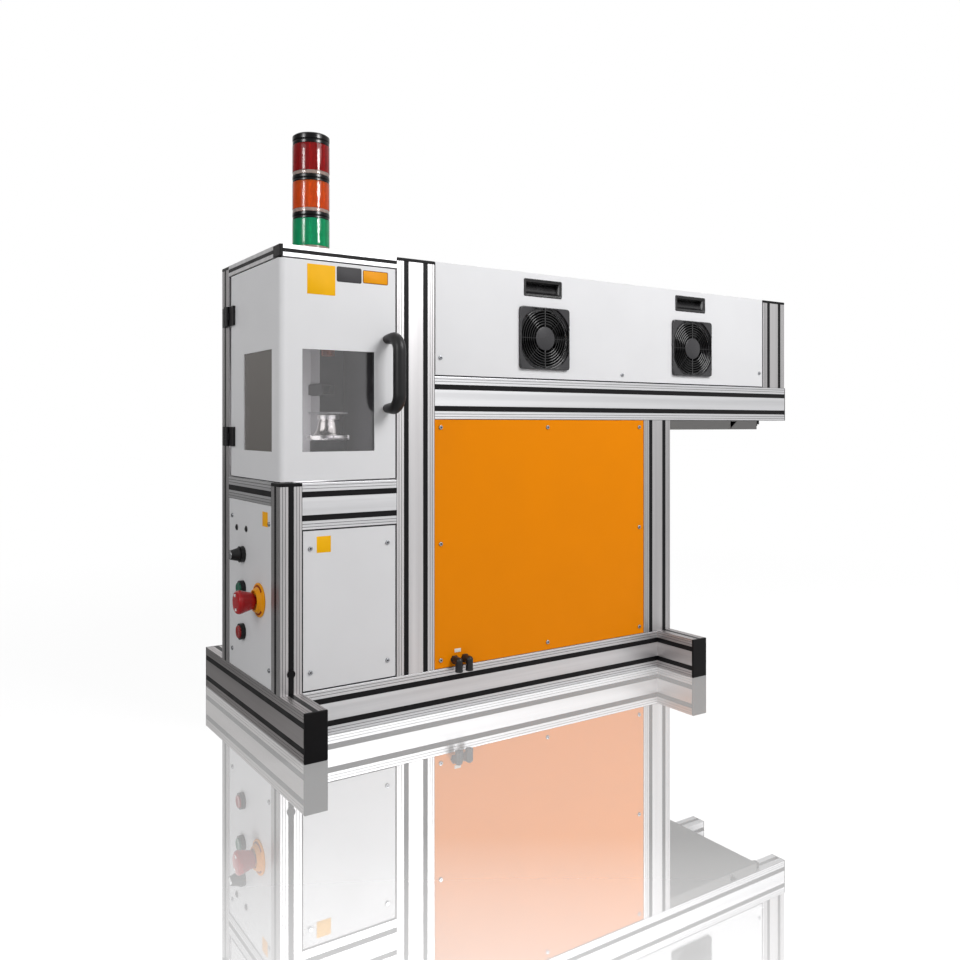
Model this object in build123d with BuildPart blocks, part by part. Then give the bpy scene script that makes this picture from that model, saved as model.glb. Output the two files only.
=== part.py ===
from build123d import *
import os
from functools import cache
from math import atan2, cos, degrees, radians, sin

# Lens engraver in millimetres. +Z is up, +X runs along the laser beam housing,
# the operator stands at -Y. The origin lies on the floor under the middle of the machine.
os.makedirs("parts", exist_ok=True)

# Slotted aluminium rail
rail = 40.0
double_rail = 2 * rail
rail_corner = 1.5
slot_mouth = 10.0
slot_lip = 4.5
slot_room_width = 18.0
slot_room_depth = 5.0
core_radius = 4.5
groove_width = 0.9
groove_depth = 0.5
groove_pitch = 5.0
strip_play = 0.15
strip_depth = 2.0
butt_gap = 0.2

# Frame layout
frame_depth = 300.0
foot_length = 500.0
chamber_width = 220.0
bay_width = 530.0
overhang = 395.0
beam_low = 542.0
beam_high = beam_low + double_rail
post_top = 827.0
mid_high = 434.0
post_cap = 6.0
foot_cap = 4.0
end_cap = 3.0
cap_edge = 1.0

# Top frame of the tower
top_rail_tall = 20.0
top_rail_deep = 30.0
top_slot = 6.5
top_slot_depth = 4.0
top_strip_depth = 1.5

# Sheet panels and their screws
sheet = 2.0
panel_recess = 1.5
panel_gap = 0.6
screw_head_radius = 4.0
screw_head_height = 2.2
screw_radius = 2.0
screw_length = 10.0
screw_socket_radius = 1.5
screw_socket_depth = 1.3
screw_play = 0.25
thread_play = 0.05
edge_inset = 13.5
edge_inset_low = 15.5
edge_inset_high = 15.0
lower_inset = 32.0
lower_inset_left = 15.0
lower_inset_right = 18.0
control_inset = 11.5
hood_inset = 13.0
hood_row = 656.0
hood_middle_row = 638.0
lug_size = 22.0
lug_thickness = 12.0
plate_thickness = 3.0

# Door
door_gap = 2.5
door_bend = 10.0
door_flange = 14.0
door_side_length = 245.0
window_low = 486.0
window_high = 660.0
window_front_left = 40.0
window_front_right = 176.0
window_side_near = 36.0
window_side_far = 176.0
pane_thickness = 3.0
pane_overlap = 9.0
pane_seat = 0.1
handle_x = 200.0
handle_low = 561.0
handle_high = 684.0
handle_reach = 47.5
handle_radius = 11.4
handle_bend = 24.0

# Hinges
hinge_heights = (510.0, 736.0)
hinge_tall = 36.0
hinge_axis_x = 6.0
hinge_axis_y = 252.0
knuckle_radius = 5.5
hinge_pin_radius = 2.0
hinge_pin_play = 0.05
hinge_leaf = 4.5
hinge_leaf_width = 24.0
hinge_play = 0.3
post_leaf_start = 260.5

# Operator controls on the left panel
control_hole_radius = 11.0
barrel_radius = 10.8
bezel_radius = 14.7
bezel_height = 8.0
barrel_depth = 34.0
button_radius = 11.5
button_proud = 3.0
button_travel = 3.0
button_play = 0.3
plunger_radius = 4.2
plunger_play = 0.05
key_radius = 10.0
key_reach = 25.0
estop_reach = 42.0
estop_head_radius = 20.5
estop_neck_radius = 14.0
estop_head_back = 14.0
estop_stem_radius = 6.0
estop_crown = 6.0
estop_crown_depth = 4.0
estop_shoulder_depth = 10.0
estop_stem_cover = 6.0
estop_plate_radius = 30.0
estop_plate_rim = 2.5
plate_bore_play = 1.0
estop_collar_radius = 20.0
estop_collar_height = 8.0
control_y = 182.0
key_z = 295.6
green_z = 233.0
red_z = 154.6
estop_y = 99.4
estop_z = 225.0
lamp_places = ((217.0, 342.0), (166.0, 343.0))
lamp_radius = 4.0
lamp_bezel_radius = 6.0
lamp_proud = 3.0
lamp_depth = 14.0

# Fans and grips of the laser housing
fan_places = (556.0, 978.0)
fan_z = 704.0
fan_guard = 124.0
fan_guard_thickness = 6.0
fan_frame = 119.0
fan_frame_depth = 38.0
fan_bore_radius = 57.0
fan_hub_radius = 22.0
fan_blade_radius = 55.0
fan_blade_count = 7
fan_blade_thickness = 2.0
fan_blade_pitch = 38.0
fan_shaft_radius = 4.0
fan_shaft_play = 0.05
guard_ring_pitch = 6.0
guard_wire = 2.0
guard_hub_radius = 24.0
guard_turns = (0.0, 45.0, 90.0, 135.0)
guard_rim = 2.5
guard_corner = 6.0
guard_mouth_corner = 45.0
fan_motor_length = 6.0
strut_width = 5.0
strut_turns = (20.0, 110.0)
shaft_socket = 5.0
fan_gap = 4.0
fan_end_play = 1.0
grip_places = (553.6, 975.0)
grip_z = 804.0
grip_width = 96.0
grip_tall = 35.0
grip_lip = 5.0
grip_depth = 16.0
grip_wall = 2.0
grip_proud = 1.5

# Signal tower on the roof
tower_x = 133.0
tower_y = 180.0
signal_radius = 35.0
signal_wall = 2.5
signal_base_top = 862.0
signal_pitch = 70.5
signal_collar = 12.5
signal_cap_height = 20.0
signal_base_step = 1.5
signal_stem_radius = 12.0
signal_stem_length = 15.0
signal_levels = 3
signal_cap_edge = 3.0
overcut = 1.0

# Chuck and lens in the work chamber
chuck_x = 137.0
chuck_y = 110.0
chamber_floor = 440.0
chuck_top = 503.0
chuck_radius = 33.5
chuck_bore_radius = 15.0
spindle_play = 0.05
lift_travel = 20.0
spindle_engaged = 25.0
spindle_depth = lift_travel + spindle_engaged
spindle_floor_gap = 2.0
spindle_shoulder = 0.5
head_lift = 1.0
spindle_top = 506.0
chuck_foot = 8.0
spindle_stub_radius = 8.0
flange_radius = 39.0
flange_height = 9.0
flange_notches = 6
flange_notch_width = 8.0
flange_notch_depth = 3.0
bell_low_radius = 25.0
bell_high_radius = 19.0
bell_foot = 3.0
bell_rise = 20.0
neck_groove = 2.0
neck_groove_tall = 3.0
flange_turn = 15.0
neck_z = 544.5
neck_height = 6.0
lens_radius = 36.0
lens_edge_z = 555.0
lens_edge = 3.5
lens_hollow = 1.0

# Laser, scan head and extraction
beam_z = 745.0
beam_radius = 12.0
head_left = 95.0
head_low = 700.0
head_high = 792.0
head_front = 70.0
head_back = 190.0
head_wall = 6.0
mirror_width = 16.0
mirror_tall = 26.0
mirror_thickness = 3.0
mirror_turn = 45.0
mirror_shaft_radius = 3.0
mirror_shaft_play = 0.05
lens_barrel_radius = 26.0
lens_spigot_radius = 20.0
lens_nose_radius = 12.0
lens_nose_low = 659.0
lens_barrel_low = 674.0
laser_start = 400.0
laser_length = 700.0
laser_half_width = 55.0
laser_low = 690.0
laser_high = 800.0
laser_fin_pitch = 20.0
laser_fin_gap = 10.0
laser_foot = 50.0
laser_fin_depth = 10.0
duct_left = 167.0
duct_front = 215.0
duct_head_gap = 6.0
duct_wall = 2.0
nozzle_left = 161.0
nozzle_right = 188.0
nozzle_front = 190.0
nozzle_low = 591.0
nozzle_high = 611.0
spigot_radius = 25.0
spigot_wall = 2.5
spigot_play = 0.3
spigot_step = 1.0
spigot_length = 40.0
spigot_z = 560.0

# Services
fitting_places = (343.0, 366.0)
fitting_z = 93.0
fitting_body_radius = 7.0
fitting_bore_radius = 4.0
fitting_reach = 17.0
fitting_drop = 20.0
fitting_thread_radius = 4.8
fitting_thread_length = 12.0
fitting_bore_depth = 15.0
inlet_x = 130.0
inlet_z = 200.0
inlet_width = 48.0
inlet_tall = 60.0
inlet_depth = 30.0
inlet_flange = 1.5
inlet_rim = 4.0
inlet_recess_half = 13.5
inlet_recess_tall = 20.0
inlet_recess_drop = 23.0
inlet_recess_depth = 18.0
pin_half = 1.0
pin_tall = 4.0
pin_rise = 8.0
pin_pitch = 7.0
pin_length = 15.0
rocker_half = 10.0
rocker_rise = 5.0
rocker_tall = 20.0
rocker_proud = 3.5
supply_inset = 60.0
supply_front = -60.0
supply_size = (140.0, 140.0, 130.0)
supply_vents = 6
supply_vent_low = 30.0
supply_vent_tall = 70.0
computer_inset = 260.0
computer_size = (180.0, 150.0, 240.0)
computer_vents = 8
computer_vent_low = 140.0
computer_vent_tall = 80.0
vent_inset = 15.0
vent_pitch = 20.0
vent_width = 6.0
vent_depth = 8.0
tray_right = 1203.0
tray_drop = 21.0
tray_notch_left = 1110.0
tray_notch_right = 1133.0
gland_x = 1219.0
gland_radius = 10.0
gland_drop = 13.0
gland_dome = 4.0
plug_radius = 7.0
plug_height = 2.0
plug_z = 115.0

# Stations worked out from the layout
frame_length = chamber_width + double_rail + bay_width + double_rail + overhang
left = (estop_reach - frame_length - end_cap) / 2
front = -frame_depth / 2
back = frame_depth / 2
inner_front = front + rail
inner_back = back - rail
tall_left = left + chamber_width
bay_left = tall_left + double_rail
bay_right = bay_left + bay_width
right_end = bay_right + double_rail
beam_end = left + frame_length
end_post_left = beam_end - double_rail
base_top = double_rail
mid_low = mid_high - double_rail
roof = post_top + post_cap
top_rail_low = roof - top_rail_tall
door_low = mid_high + door_gap
door_high = top_rail_low - door_gap


def blocks(corners, mode=Mode.ADD):
    """Rectangular blocks, each between a low and a high corner, joined in one step."""
    solids = []
    for low, high in corners:
        middle = tuple((a + b) / 2 for a, b in zip(low, high))
        size = tuple(b - a for a, b in zip(low, high))
        solids.append(Box(*size, mode=Mode.PRIVATE).moved(Location(middle)))
    add(solids, mode=mode)


def block(low, high, mode=Mode.ADD):
    """One rectangular block between two corners."""
    blocks([(low, high)], mode)


directions = {"+X": (1, 0, 0), "-X": (-1, 0, 0), "+Y": (0, 1, 0), "-Y": (0, -1, 0),
              "+Z": (0, 0, 1), "-Z": (0, 0, -1)}


def rods(starts, axis, radius, length, mode=Mode.ADD):
    """Equal round rods from several start points along a named direction."""
    with Locations(*[Plane(origin=start, z_dir=directions[axis]) for start in starts]):
        Cylinder(radius, length, align=(Align.CENTER, Align.CENTER, Align.MIN), mode=mode)


def rod(start, axis, radius, length, mode=Mode.ADD):
    """One round rod from a start point along a named direction."""
    rods([start], axis, radius, length, mode)


def finish(builder, name):
    """Label a finished piece and write it."""
    builder.part.label = name
    export_step(builder.part, f"parts/{name}.step")


# Slotted rails
def face_spots(wide, tall):
    """The four sides of a rail section: outward angle, distance to the side, length of the side."""
    return ((0, wide / 2, tall), (90, tall / 2, wide), (180, wide / 2, tall), (270, tall / 2, wide))


def on_side(angle, reach, across):
    """A place on a side of the section, turned so that its x axis points outward."""
    turn = radians(angle)
    x = reach * cos(turn) - across * sin(turn)
    y = reach * sin(turn) + across * cos(turn)
    return Location((x, y, 0), (0, 0, angle))


def slot_offsets(span):
    """Slot middles along a side: one in each grid square."""
    cells = max(1, round(span / rail))
    return [(index - (cells - 1) / 2) * rail for index in range(cells)]


@cache
def rail_section(wide, tall, grooved):
    """Rail section with T slots on the grid, hollow cores and fine grooves on the named turns."""
    mouths = []
    rooms = []
    grooves = []
    for angle, reach, span in face_spots(wide, tall):
        for across in slot_offsets(span):
            mouths.append(on_side(angle, reach, across))
            rooms.append(on_side(angle, reach - slot_lip - slot_room_depth / 2, across))
        if angle in grooved:
            for offset in (groove_pitch, 2 * groove_pitch):
                grooves.append(on_side(angle, reach, span / 2 - offset))
                grooves.append(on_side(angle, reach, offset - span / 2))
    with BuildSketch() as section:
        Rectangle(wide, tall)
        fillet(section.vertices(), rail_corner)
        with Locations(*mouths):
            Rectangle(2 * slot_lip, slot_mouth, mode=Mode.SUBTRACT)
        with Locations(*rooms):
            Rectangle(slot_room_depth, slot_room_width, mode=Mode.SUBTRACT)
        if grooves:
            with Locations(*grooves):
                Rectangle(2 * groove_depth, groove_width, mode=Mode.SUBTRACT)
        with Locations(*[(x, y) for x in slot_offsets(wide) for y in slot_offsets(tall)]):
            Circle(core_radius, mode=Mode.SUBTRACT)
    return section.sketch


def rail_solid(axis, low, high, sides):
    """Slotted rail filling the box between two corners along an axis, grooved on the named sides."""
    middle = [(a + b) / 2 for a, b in zip(low, high)]
    size = [b - a for a, b in zip(low, high)]
    if axis == "Z":
        plane = Plane(origin=(middle[0], middle[1], low[2]), x_dir=(1, 0, 0), z_dir=(0, 0, 1))
        wide, tall, length = size
    elif axis == "X":
        plane = Plane(origin=(low[0], middle[1], middle[2]), x_dir=(0, 1, 0), z_dir=(1, 0, 0))
        length, wide, tall = size
    else:
        plane = Plane(origin=(middle[0], low[1], middle[2]), x_dir=(1, 0, 0), z_dir=(0, 1, 0))
        wide, length, tall = size
    turns = []
    for side in sides:
        outward = Vector(*directions[side])
        turns.append(round(degrees(atan2(outward.dot(plane.y_dir), outward.dot(plane.x_dir)))) % 360)
    section = rail_section(round(wide, 3), round(tall, 3), tuple(turns)).moved(plane.location)
    return extrude(section, amount=length, mode=Mode.PRIVATE)


def strip_corners(axis, low, high, sides):
    """Corners of the cover strips lying flush in the slots of a rail's named sides."""
    run = "XYZ".index(axis)
    corners = []
    for side in sides:
        normal = "XYZ".index(side[1])
        across = 3 - run - normal
        outward = 1 if side[0] == "+" else -1
        face = high[normal] if outward > 0 else low[normal]
        middle = (low[across] + high[across]) / 2
        for offset in slot_offsets(high[across] - low[across]):
            corner_low = list(low)
            corner_high = list(high)
            corner_low[across] = middle + offset - slot_mouth / 2 + strip_play
            corner_high[across] = middle + offset + slot_mouth / 2 - strip_play
            corner_low[normal] = min(face, face - outward * strip_depth)
            corner_high[normal] = max(face, face - outward * strip_depth)
            corners.append((corner_low, corner_high))
    return corners


def depth_pair(axis, x_low, x_high, z_low, z_high, sides):
    """The same rail at the front and at the back of the frame."""
    mirrored = [side.replace("-Y", "+Y") for side in sides]
    return [
        (axis, (x_low, front, z_low), (x_high, inner_front, z_high), sides),
        (axis, (x_low, inner_back, z_low), (x_high, back, z_high), mirrored),
    ]


foot_y = foot_length / 2
rails = {
    "foot_rails": [
        ("Y", (left, -foot_y, 0), (left + rail, foot_y, base_top), ["-X", "+X", "+Z"]),
        ("Y", (right_end - rail, -foot_y, 0), (right_end, foot_y, base_top), ["-X", "+X", "+Z"]),
    ],
    "base_rails": depth_pair("X", left + rail, right_end - rail, 0, base_top, ["-Y"]),
    "left_posts": [
        ("Z", (left, front, base_top), (left + rail, inner_front, mid_high - post_cap), ["-X", "-Y"]),
        ("Z", (left, inner_back, base_top), (left + rail, back, post_top), ["-X", "+Y"]),
    ],
    "tall_posts": depth_pair("Z", tall_left, bay_left, base_top, post_top, ["-Y"]),
    "outer_posts": depth_pair("Z", bay_right, right_end, base_top, beam_low, ["-Y", "+X"])
    + depth_pair("Z", end_post_left, beam_end, beam_high, post_top, ["-Y", "+X"]),
    "main_beams": depth_pair("X", bay_left, beam_end, beam_low, beam_high, ["-Y"]),
    "front_mid_rail": [
        ("X", (left + rail, front, mid_low), (tall_left, inner_front, mid_high), ["-Y"]),
    ],
    "cross_rails": [
        ("Y", (left, inner_front + butt_gap, mid_high - rail),
         (left + rail, inner_back - butt_gap, mid_high), ["-X"]),
        ("X", (left + rail + butt_gap, inner_back, mid_high - rail),
         (tall_left - butt_gap, back, mid_high), ["+Y"]),
    ]
    + [
        ("Y", (x, inner_front + butt_gap, beam_high - rail),
         (x + rail, inner_back - butt_gap, beam_high), [])
        for x in (bay_left + rail, right_end - rail, beam_end - rail)
    ],
}

for rail_name, members in rails.items():
    with BuildPart() as rail_group:
        add([rail_solid(*member) for member in members])
    finish(rail_group, rail_name)

# Black strips in the outer slots
top_strip_z = top_rail_low + top_rail_tall / 2
strip_list = [
    ((left + post_cap, front, top_strip_z - top_slot / 2 + strip_play),
     (tall_left, front + top_strip_depth, top_strip_z + top_slot / 2 - strip_play)),
    ((left, front + top_rail_deep + butt_gap, top_strip_z - top_slot / 2 + strip_play),
     (left + top_strip_depth, inner_back, top_strip_z + top_slot / 2 - strip_play)),
]
for members in rails.values():
    for rail_axis, low_corner, high_corner, strip_sides in members:
        strip_list += strip_corners(rail_axis, low_corner, high_corner, strip_sides)
with BuildPart() as slot_strips:
    blocks(strip_list)
finish(slot_strips, "slot_strips")


# Low rails round the roof of the tower
with BuildPart() as top_frame_rails:
    block((left + post_cap, front, top_rail_low), (tall_left, front + top_rail_deep, roof))
    block((left, front + top_rail_deep + butt_gap, top_rail_low), (left + top_rail_deep, inner_back, roof))
    block((left + rail, back - top_rail_deep, top_rail_low), (tall_left, back, roof))
    block((left, front - top_slot_depth, top_strip_z - top_slot / 2),
          (tall_left, front + top_slot_depth, top_strip_z + top_slot / 2), Mode.SUBTRACT)
    block((left - top_slot_depth, front + top_rail_deep, top_strip_z - top_slot / 2),
          (left + top_slot_depth, inner_back, top_strip_z + top_slot / 2), Mode.SUBTRACT)
finish(top_frame_rails, "top_frame_rails")


# Moulded caps on every open rail end, the plug in the corner post and the gland under the beam
@cache
def cap_plate(size):
    """Plate with softened edges."""
    with BuildPart() as piece:
        Box(*size)
        fillet(piece.edges(), cap_edge)
    return piece.part


def cap(low, high):
    """Cap plate between two corners."""
    middle = tuple((a + b) / 2 for a, b in zip(low, high))
    size = tuple(round(b - a, 3) for a, b in zip(low, high))
    return cap_plate(size).moved(Location(middle))


cap_list = [
    cap((left, front, mid_high - post_cap), (left + rail, inner_front, mid_high)),
    cap((left, inner_back, post_top), (left + rail, back, roof)),
    cap((left, front, top_rail_low), (left + post_cap, front + top_rail_deep, roof)),
]
for foot_x in (left, right_end - rail):
    cap_list.append(cap((foot_x, -foot_y - foot_cap, 0), (foot_x + rail, -foot_y, base_top)))
    cap_list.append(cap((foot_x, foot_y, 0), (foot_x + rail, foot_y + foot_cap, base_top)))
for cap_front in (front, inner_back):
    cap_list.append(cap((tall_left, cap_front, post_top), (bay_left, cap_front + rail, roof)))
    cap_list.append(cap((end_post_left, cap_front, post_top), (beam_end, cap_front + rail, roof)))
    cap_list.append(cap((beam_end, cap_front, beam_low), (beam_end + end_cap, cap_front + rail, beam_high)))
with BuildPart() as profile_caps:
    add(cap_list)
    rod((left + rail / 2, front, plug_z), "-Y", plug_radius, plug_height)
    rod((left + gland_x, front + rail / 2, beam_low), "-Z", gland_radius, gland_drop - gland_dome)
    rod((left + gland_x, front + rail / 2, beam_low), "-Z", gland_radius - gland_dome, gland_drop)
finish(profile_caps, "profile_caps")


# Sheet panels: a hole for every screw, a lug behind it and the screw itself
face_front = front + panel_recess
face_back = back - panel_recess
face_left = left + panel_recess
face_right = right_end - panel_recess

orange_low = base_top + panel_gap
orange_high = beam_low - panel_gap
orange_left = bay_left + panel_gap
orange_right = bay_right - panel_gap
duct_middle = (left + duct_left + tall_left - sheet) / 2
orange_columns = (bay_left + edge_inset, (bay_left + bay_right) / 2, bay_right - edge_inset)
orange_rows = (base_top + edge_inset_low, (base_top + beam_low) / 2, beam_low - edge_inset_high)
orange_screws = [(x, z) for x in orange_columns for z in orange_rows]
orange_screws.remove((orange_columns[1], orange_rows[1]))
lower_rows = (mid_low - lower_inset, base_top + lower_inset)
lower_columns = (left + rail + lower_inset_left, tall_left - lower_inset_right)
lower_screws = [(x, z) for x in lower_columns for z in lower_rows]
hood_low = beam_high + panel_gap
hood_left = bay_left + panel_gap
hood_right = end_post_left - panel_gap
hood_middle = (left + fan_places[0] + left + fan_places[1]) / 2
hood_screws = [(bay_left + hood_inset, hood_row), (hood_middle, hood_middle_row),
               (end_post_left - hood_inset, hood_row)]
control_rows = (base_top + lower_inset, mid_high - rail - lower_inset)
control_columns = (inner_front + control_inset, inner_back - lower_inset_right)
control_screws = [(y, z) for y in control_columns for z in control_rows]
side_columns = (inner_front + control_inset, inner_back - control_inset)
side_rows = (base_top + lower_inset, beam_low - lower_inset)
side_screws = [(y, z) for y in side_columns for z in side_rows]
control_places = [(control_y, key_z), (control_y, green_z), (control_y, red_z), (estop_y, estop_z)]
panel_screw_places = orange_screws + lower_screws + hood_screws


def front_panel(x_low, x_high, z_low, z_high, screws, face, inward):
    """Upright panel across the machine with a hole at each screw."""
    y_low = min(face, face + inward * sheet)
    block((x_low, y_low, z_low), (x_high, y_low + sheet, z_high))
    if screws:
        rods([(x, y_low - sheet, z) for x, z in screws], "+Y",
             screw_radius + screw_play, 3 * sheet, Mode.SUBTRACT)


with BuildPart() as orange_panel:
    front_panel(orange_left, orange_right, orange_low, orange_high, orange_screws, face_front, 1)
    rods([(left + x, face_front - sheet, fitting_z) for x in fitting_places], "+Y",
         fitting_thread_radius + screw_play, 3 * sheet, Mode.SUBTRACT)
finish(orange_panel, "orange_panel")

lower_left = left + rail + panel_gap
lower_right = tall_left - panel_gap
with BuildPart() as lower_front_panel:
    front_panel(lower_left, lower_right, base_top + panel_gap, mid_low - panel_gap,
                lower_screws, face_front, 1)
finish(lower_front_panel, "lower_front_panel")

with BuildPart() as closing_panels:
    front_panel(orange_left, orange_right, orange_low, orange_high, orange_screws, face_back, -1)
    front_panel(hood_left, hood_right, hood_low, roof, hood_screws, face_back, -1)
    front_panel(lower_left, lower_right, base_top + panel_gap, mid_high - rail - panel_gap,
                lower_screws, face_back, -1)
    front_panel(lower_left, lower_right, mid_high + panel_gap, top_rail_low - panel_gap, [], face_back, -1)
    block((left + inlet_x - inlet_width / 2, face_back - 2 * sheet, inlet_z - inlet_tall / 2),
          (left + inlet_x + inlet_width / 2, back, inlet_z + inlet_tall / 2), Mode.SUBTRACT)
    rod((duct_middle, face_back - 2 * sheet, spigot_z), "+Y",
        spigot_radius - spigot_step + spigot_play, 4 * sheet, Mode.SUBTRACT)
    block((face_right - sheet, inner_front + panel_gap, orange_low),
          (face_right, inner_back - panel_gap, orange_high))
    rods([(face_right + sheet, y, z) for y, z in side_screws], "-X",
         screw_radius + screw_play, 3 * sheet, Mode.SUBTRACT)
finish(closing_panels, "closing_panels")

with BuildPart() as control_panel:
    block((face_left, inner_front + panel_gap, base_top + panel_gap),
          (face_left + sheet, inner_back - panel_gap, mid_high - rail - panel_gap))
    rods([(face_left - sheet, y, z) for y, z in control_screws], "+X",
         screw_radius + screw_play, 3 * sheet, Mode.SUBTRACT)
    rods([(face_left - sheet, front + y, z) for y, z in control_places], "+X",
         control_hole_radius, 3 * sheet, Mode.SUBTRACT)
    rods([(face_left - sheet, front + y, z) for y, z in lamp_places], "+X",
         lamp_radius + screw_play, 3 * sheet, Mode.SUBTRACT)
finish(control_panel, "control_panel")

with BuildPart() as hood_front_panel:
    front_panel(hood_left, hood_right, hood_low, roof, hood_screws, face_front, 1)
    for fan_x in fan_places:
        rod((left + fan_x, face_front - sheet, fan_z), "+Y", fan_bore_radius, 3 * sheet, Mode.SUBTRACT)
    for grip_x in grip_places:
        grip_half_width = grip_width / 2 - grip_lip
        grip_half_tall = grip_tall / 2 - grip_lip
        block((left + grip_x - grip_half_width, face_front - sheet, grip_z - grip_half_tall),
              (left + grip_x + grip_half_width, face_front + 2 * sheet, grip_z + grip_half_tall),
              Mode.SUBTRACT)
finish(hood_front_panel, "hood_front_panel")

with BuildPart() as hood_covers:
    block((tall_left + panel_gap, inner_front + panel_gap, roof - sheet),
          (hood_left, inner_back - panel_gap, roof))
    block((hood_left, face_front + sheet + panel_gap, roof - sheet),
          (hood_right, face_back - sheet - panel_gap, roof))
    block((beam_end - panel_recess - sheet, inner_front + panel_gap, beam_high + panel_gap),
          (beam_end - panel_recess, inner_back - panel_gap, roof))
    block((hood_right + 2 * panel_gap, inner_front + panel_gap, roof - sheet),
          (beam_end - panel_recess - sheet - panel_gap, inner_back - panel_gap, roof))
finish(hood_covers, "hood_covers")

tray_low = beam_low - tray_drop
with BuildPart() as underside_tray:
    block((right_end + panel_gap, face_front, tray_low), (left + tray_right, face_back, beam_low))
    block((right_end + panel_gap + sheet, face_front + sheet, tray_low + sheet),
          (left + tray_right - sheet, face_back - sheet, beam_low), Mode.SUBTRACT)
    with BuildSketch(Plane(origin=(0, face_front - sheet, 0), x_dir=(1, 0, 0), z_dir=(0, -1, 0))):
        with BuildLine():
            Polyline((left + tray_notch_left, tray_low + cap_edge),
                     (left + tray_notch_left, beam_low - sheet),
                     (left + tray_notch_right, beam_low - sheet), close=True)
        make_face()
    extrude(amount=-3 * sheet, mode=Mode.SUBTRACT)
finish(underside_tray, "underside_tray")

# Floor plates that carry the electronics and the laser
laser_plate_high = beam_high + plate_thickness
with BuildPart() as mounting_plates:
    plate_front = face_front + sheet + panel_gap
    block((bay_left, plate_front, base_top), (bay_right, -plate_front, base_top + plate_thickness))
    block((left + rail, plate_front, base_top), (tall_left, -plate_front, base_top + plate_thickness))
    block((tall_left, inner_front + panel_gap, base_top), (bay_left, inner_back - panel_gap,
                                                           base_top + plate_thickness))
    block((bay_left, plate_front, beam_high), (end_post_left - panel_gap, -plate_front, laser_plate_high))
finish(mounting_plates, "mounting_plates")

# Lugs behind the panels, one for each screw, each reaching the rail that carries it
lug_half = lug_size / 2


def bay_lug(x, z):
    """X and Z extent of a lug of the bay panels."""
    x_low = bay_left if x == orange_columns[0] else x - lug_half
    x_high = bay_right if x == orange_columns[2] else x + lug_half
    z_low = base_top + plate_thickness if z == orange_rows[0] else z - lug_half
    z_high = beam_low if z == orange_rows[2] else z + lug_half
    return x_low, x_high, z_low, z_high


def lower_lug(x, z):
    """X and Z extent of a lug of the panels under the work chamber."""
    on_left = x < (left + tall_left) / 2
    x_low = left + rail if on_left else x - lug_half
    x_high = x + lug_half if on_left else tall_left
    return x_low, x_high, z - lug_half, z + lug_half


def hood_lug(x, z):
    """X and Z extent of a lug of the laser housing, standing on the floor plate."""
    x_low = bay_left if x < hood_middle else x - lug_half
    x_high = end_post_left if x > hood_middle else x + lug_half
    return x_low, x_high, laser_plate_high, z + lug_half


lug_extents = [bay_lug(x, z) for x, z in orange_screws]
lug_extents += [lower_lug(x, z) for x, z in lower_screws]
lug_extents += [hood_lug(x, z) for x, z in hood_screws]
lug_near = face_front + sheet
lug_far = lug_near + lug_thickness
control_lug_x = face_left + sheet
lug_list = []
for x_low, x_high, z_low, z_high in lug_extents:
    lug_list.append(((x_low, lug_near, z_low), (x_high, lug_far, z_high)))
    lug_list.append(((x_low, -lug_far, z_low), (x_high, -lug_near, z_high)))
for screw_y, screw_z in control_screws:
    y_low = inner_front if screw_y < 0 else screw_y - lug_half
    y_high = screw_y + lug_half if screw_y < 0 else inner_back
    lug_list.append(((control_lug_x, y_low, screw_z - lug_half),
                     (control_lug_x + lug_thickness, y_high, screw_z + lug_half)))
side_lug_x = face_right - sheet - lug_thickness
for screw_y, screw_z in side_screws:
    y_low = inner_front if screw_y < 0 else screw_y - lug_half
    y_high = screw_y + lug_half if screw_y < 0 else inner_back
    lug_list.append(((side_lug_x, y_low, screw_z - lug_half),
                     (side_lug_x + lug_thickness, y_high, screw_z + lug_half)))
with BuildPart() as panel_lugs:
    blocks(lug_list)
    rods([(x, lug_near, z) for x, z in panel_screw_places], "+Y",
         screw_radius + thread_play, lug_thickness, Mode.SUBTRACT)
    rods([(x, -lug_near, z) for x, z in panel_screw_places], "-Y",
         screw_radius + thread_play, lug_thickness, Mode.SUBTRACT)
    rods([(control_lug_x, y, z) for y, z in control_screws]
         + [(side_lug_x, y, z) for y, z in side_screws], "+X",
         screw_radius + thread_play, lug_thickness, Mode.SUBTRACT)
finish(panel_lugs, "panel_lugs")

# Socket button screws, their heads on the panels
with BuildPart() as one_screw:
    Cylinder(screw_radius, screw_length, align=(Align.CENTER, Align.CENTER, Align.MIN))
    Cylinder(screw_head_radius, screw_head_height, align=(Align.CENTER, Align.CENTER, Align.MAX))
    fillet(one_screw.faces().sort_by(Axis.Z)[0].edges(), screw_head_height / 2)
    with Locations((0, 0, -screw_head_height)):
        Cylinder(screw_socket_radius, screw_socket_depth, align=(Align.CENTER, Align.CENTER, Align.MIN),
                 mode=Mode.SUBTRACT)

screw_planes = [Plane(origin=(x, face_front, z), z_dir=(0, 1, 0)) for x, z in panel_screw_places]
screw_planes += [Plane(origin=(x, face_back, z), z_dir=(0, -1, 0)) for x, z in panel_screw_places]
screw_planes += [Plane(origin=(face_left, y, z), z_dir=(1, 0, 0)) for y, z in control_screws]
screw_planes += [Plane(origin=(face_right, y, z), z_dir=(-1, 0, 0)) for y, z in side_screws]
with BuildPart() as panel_screws:
    with Locations(*screw_planes):
        add(one_screw.part)
finish(panel_screws, "panel_screws")

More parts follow.
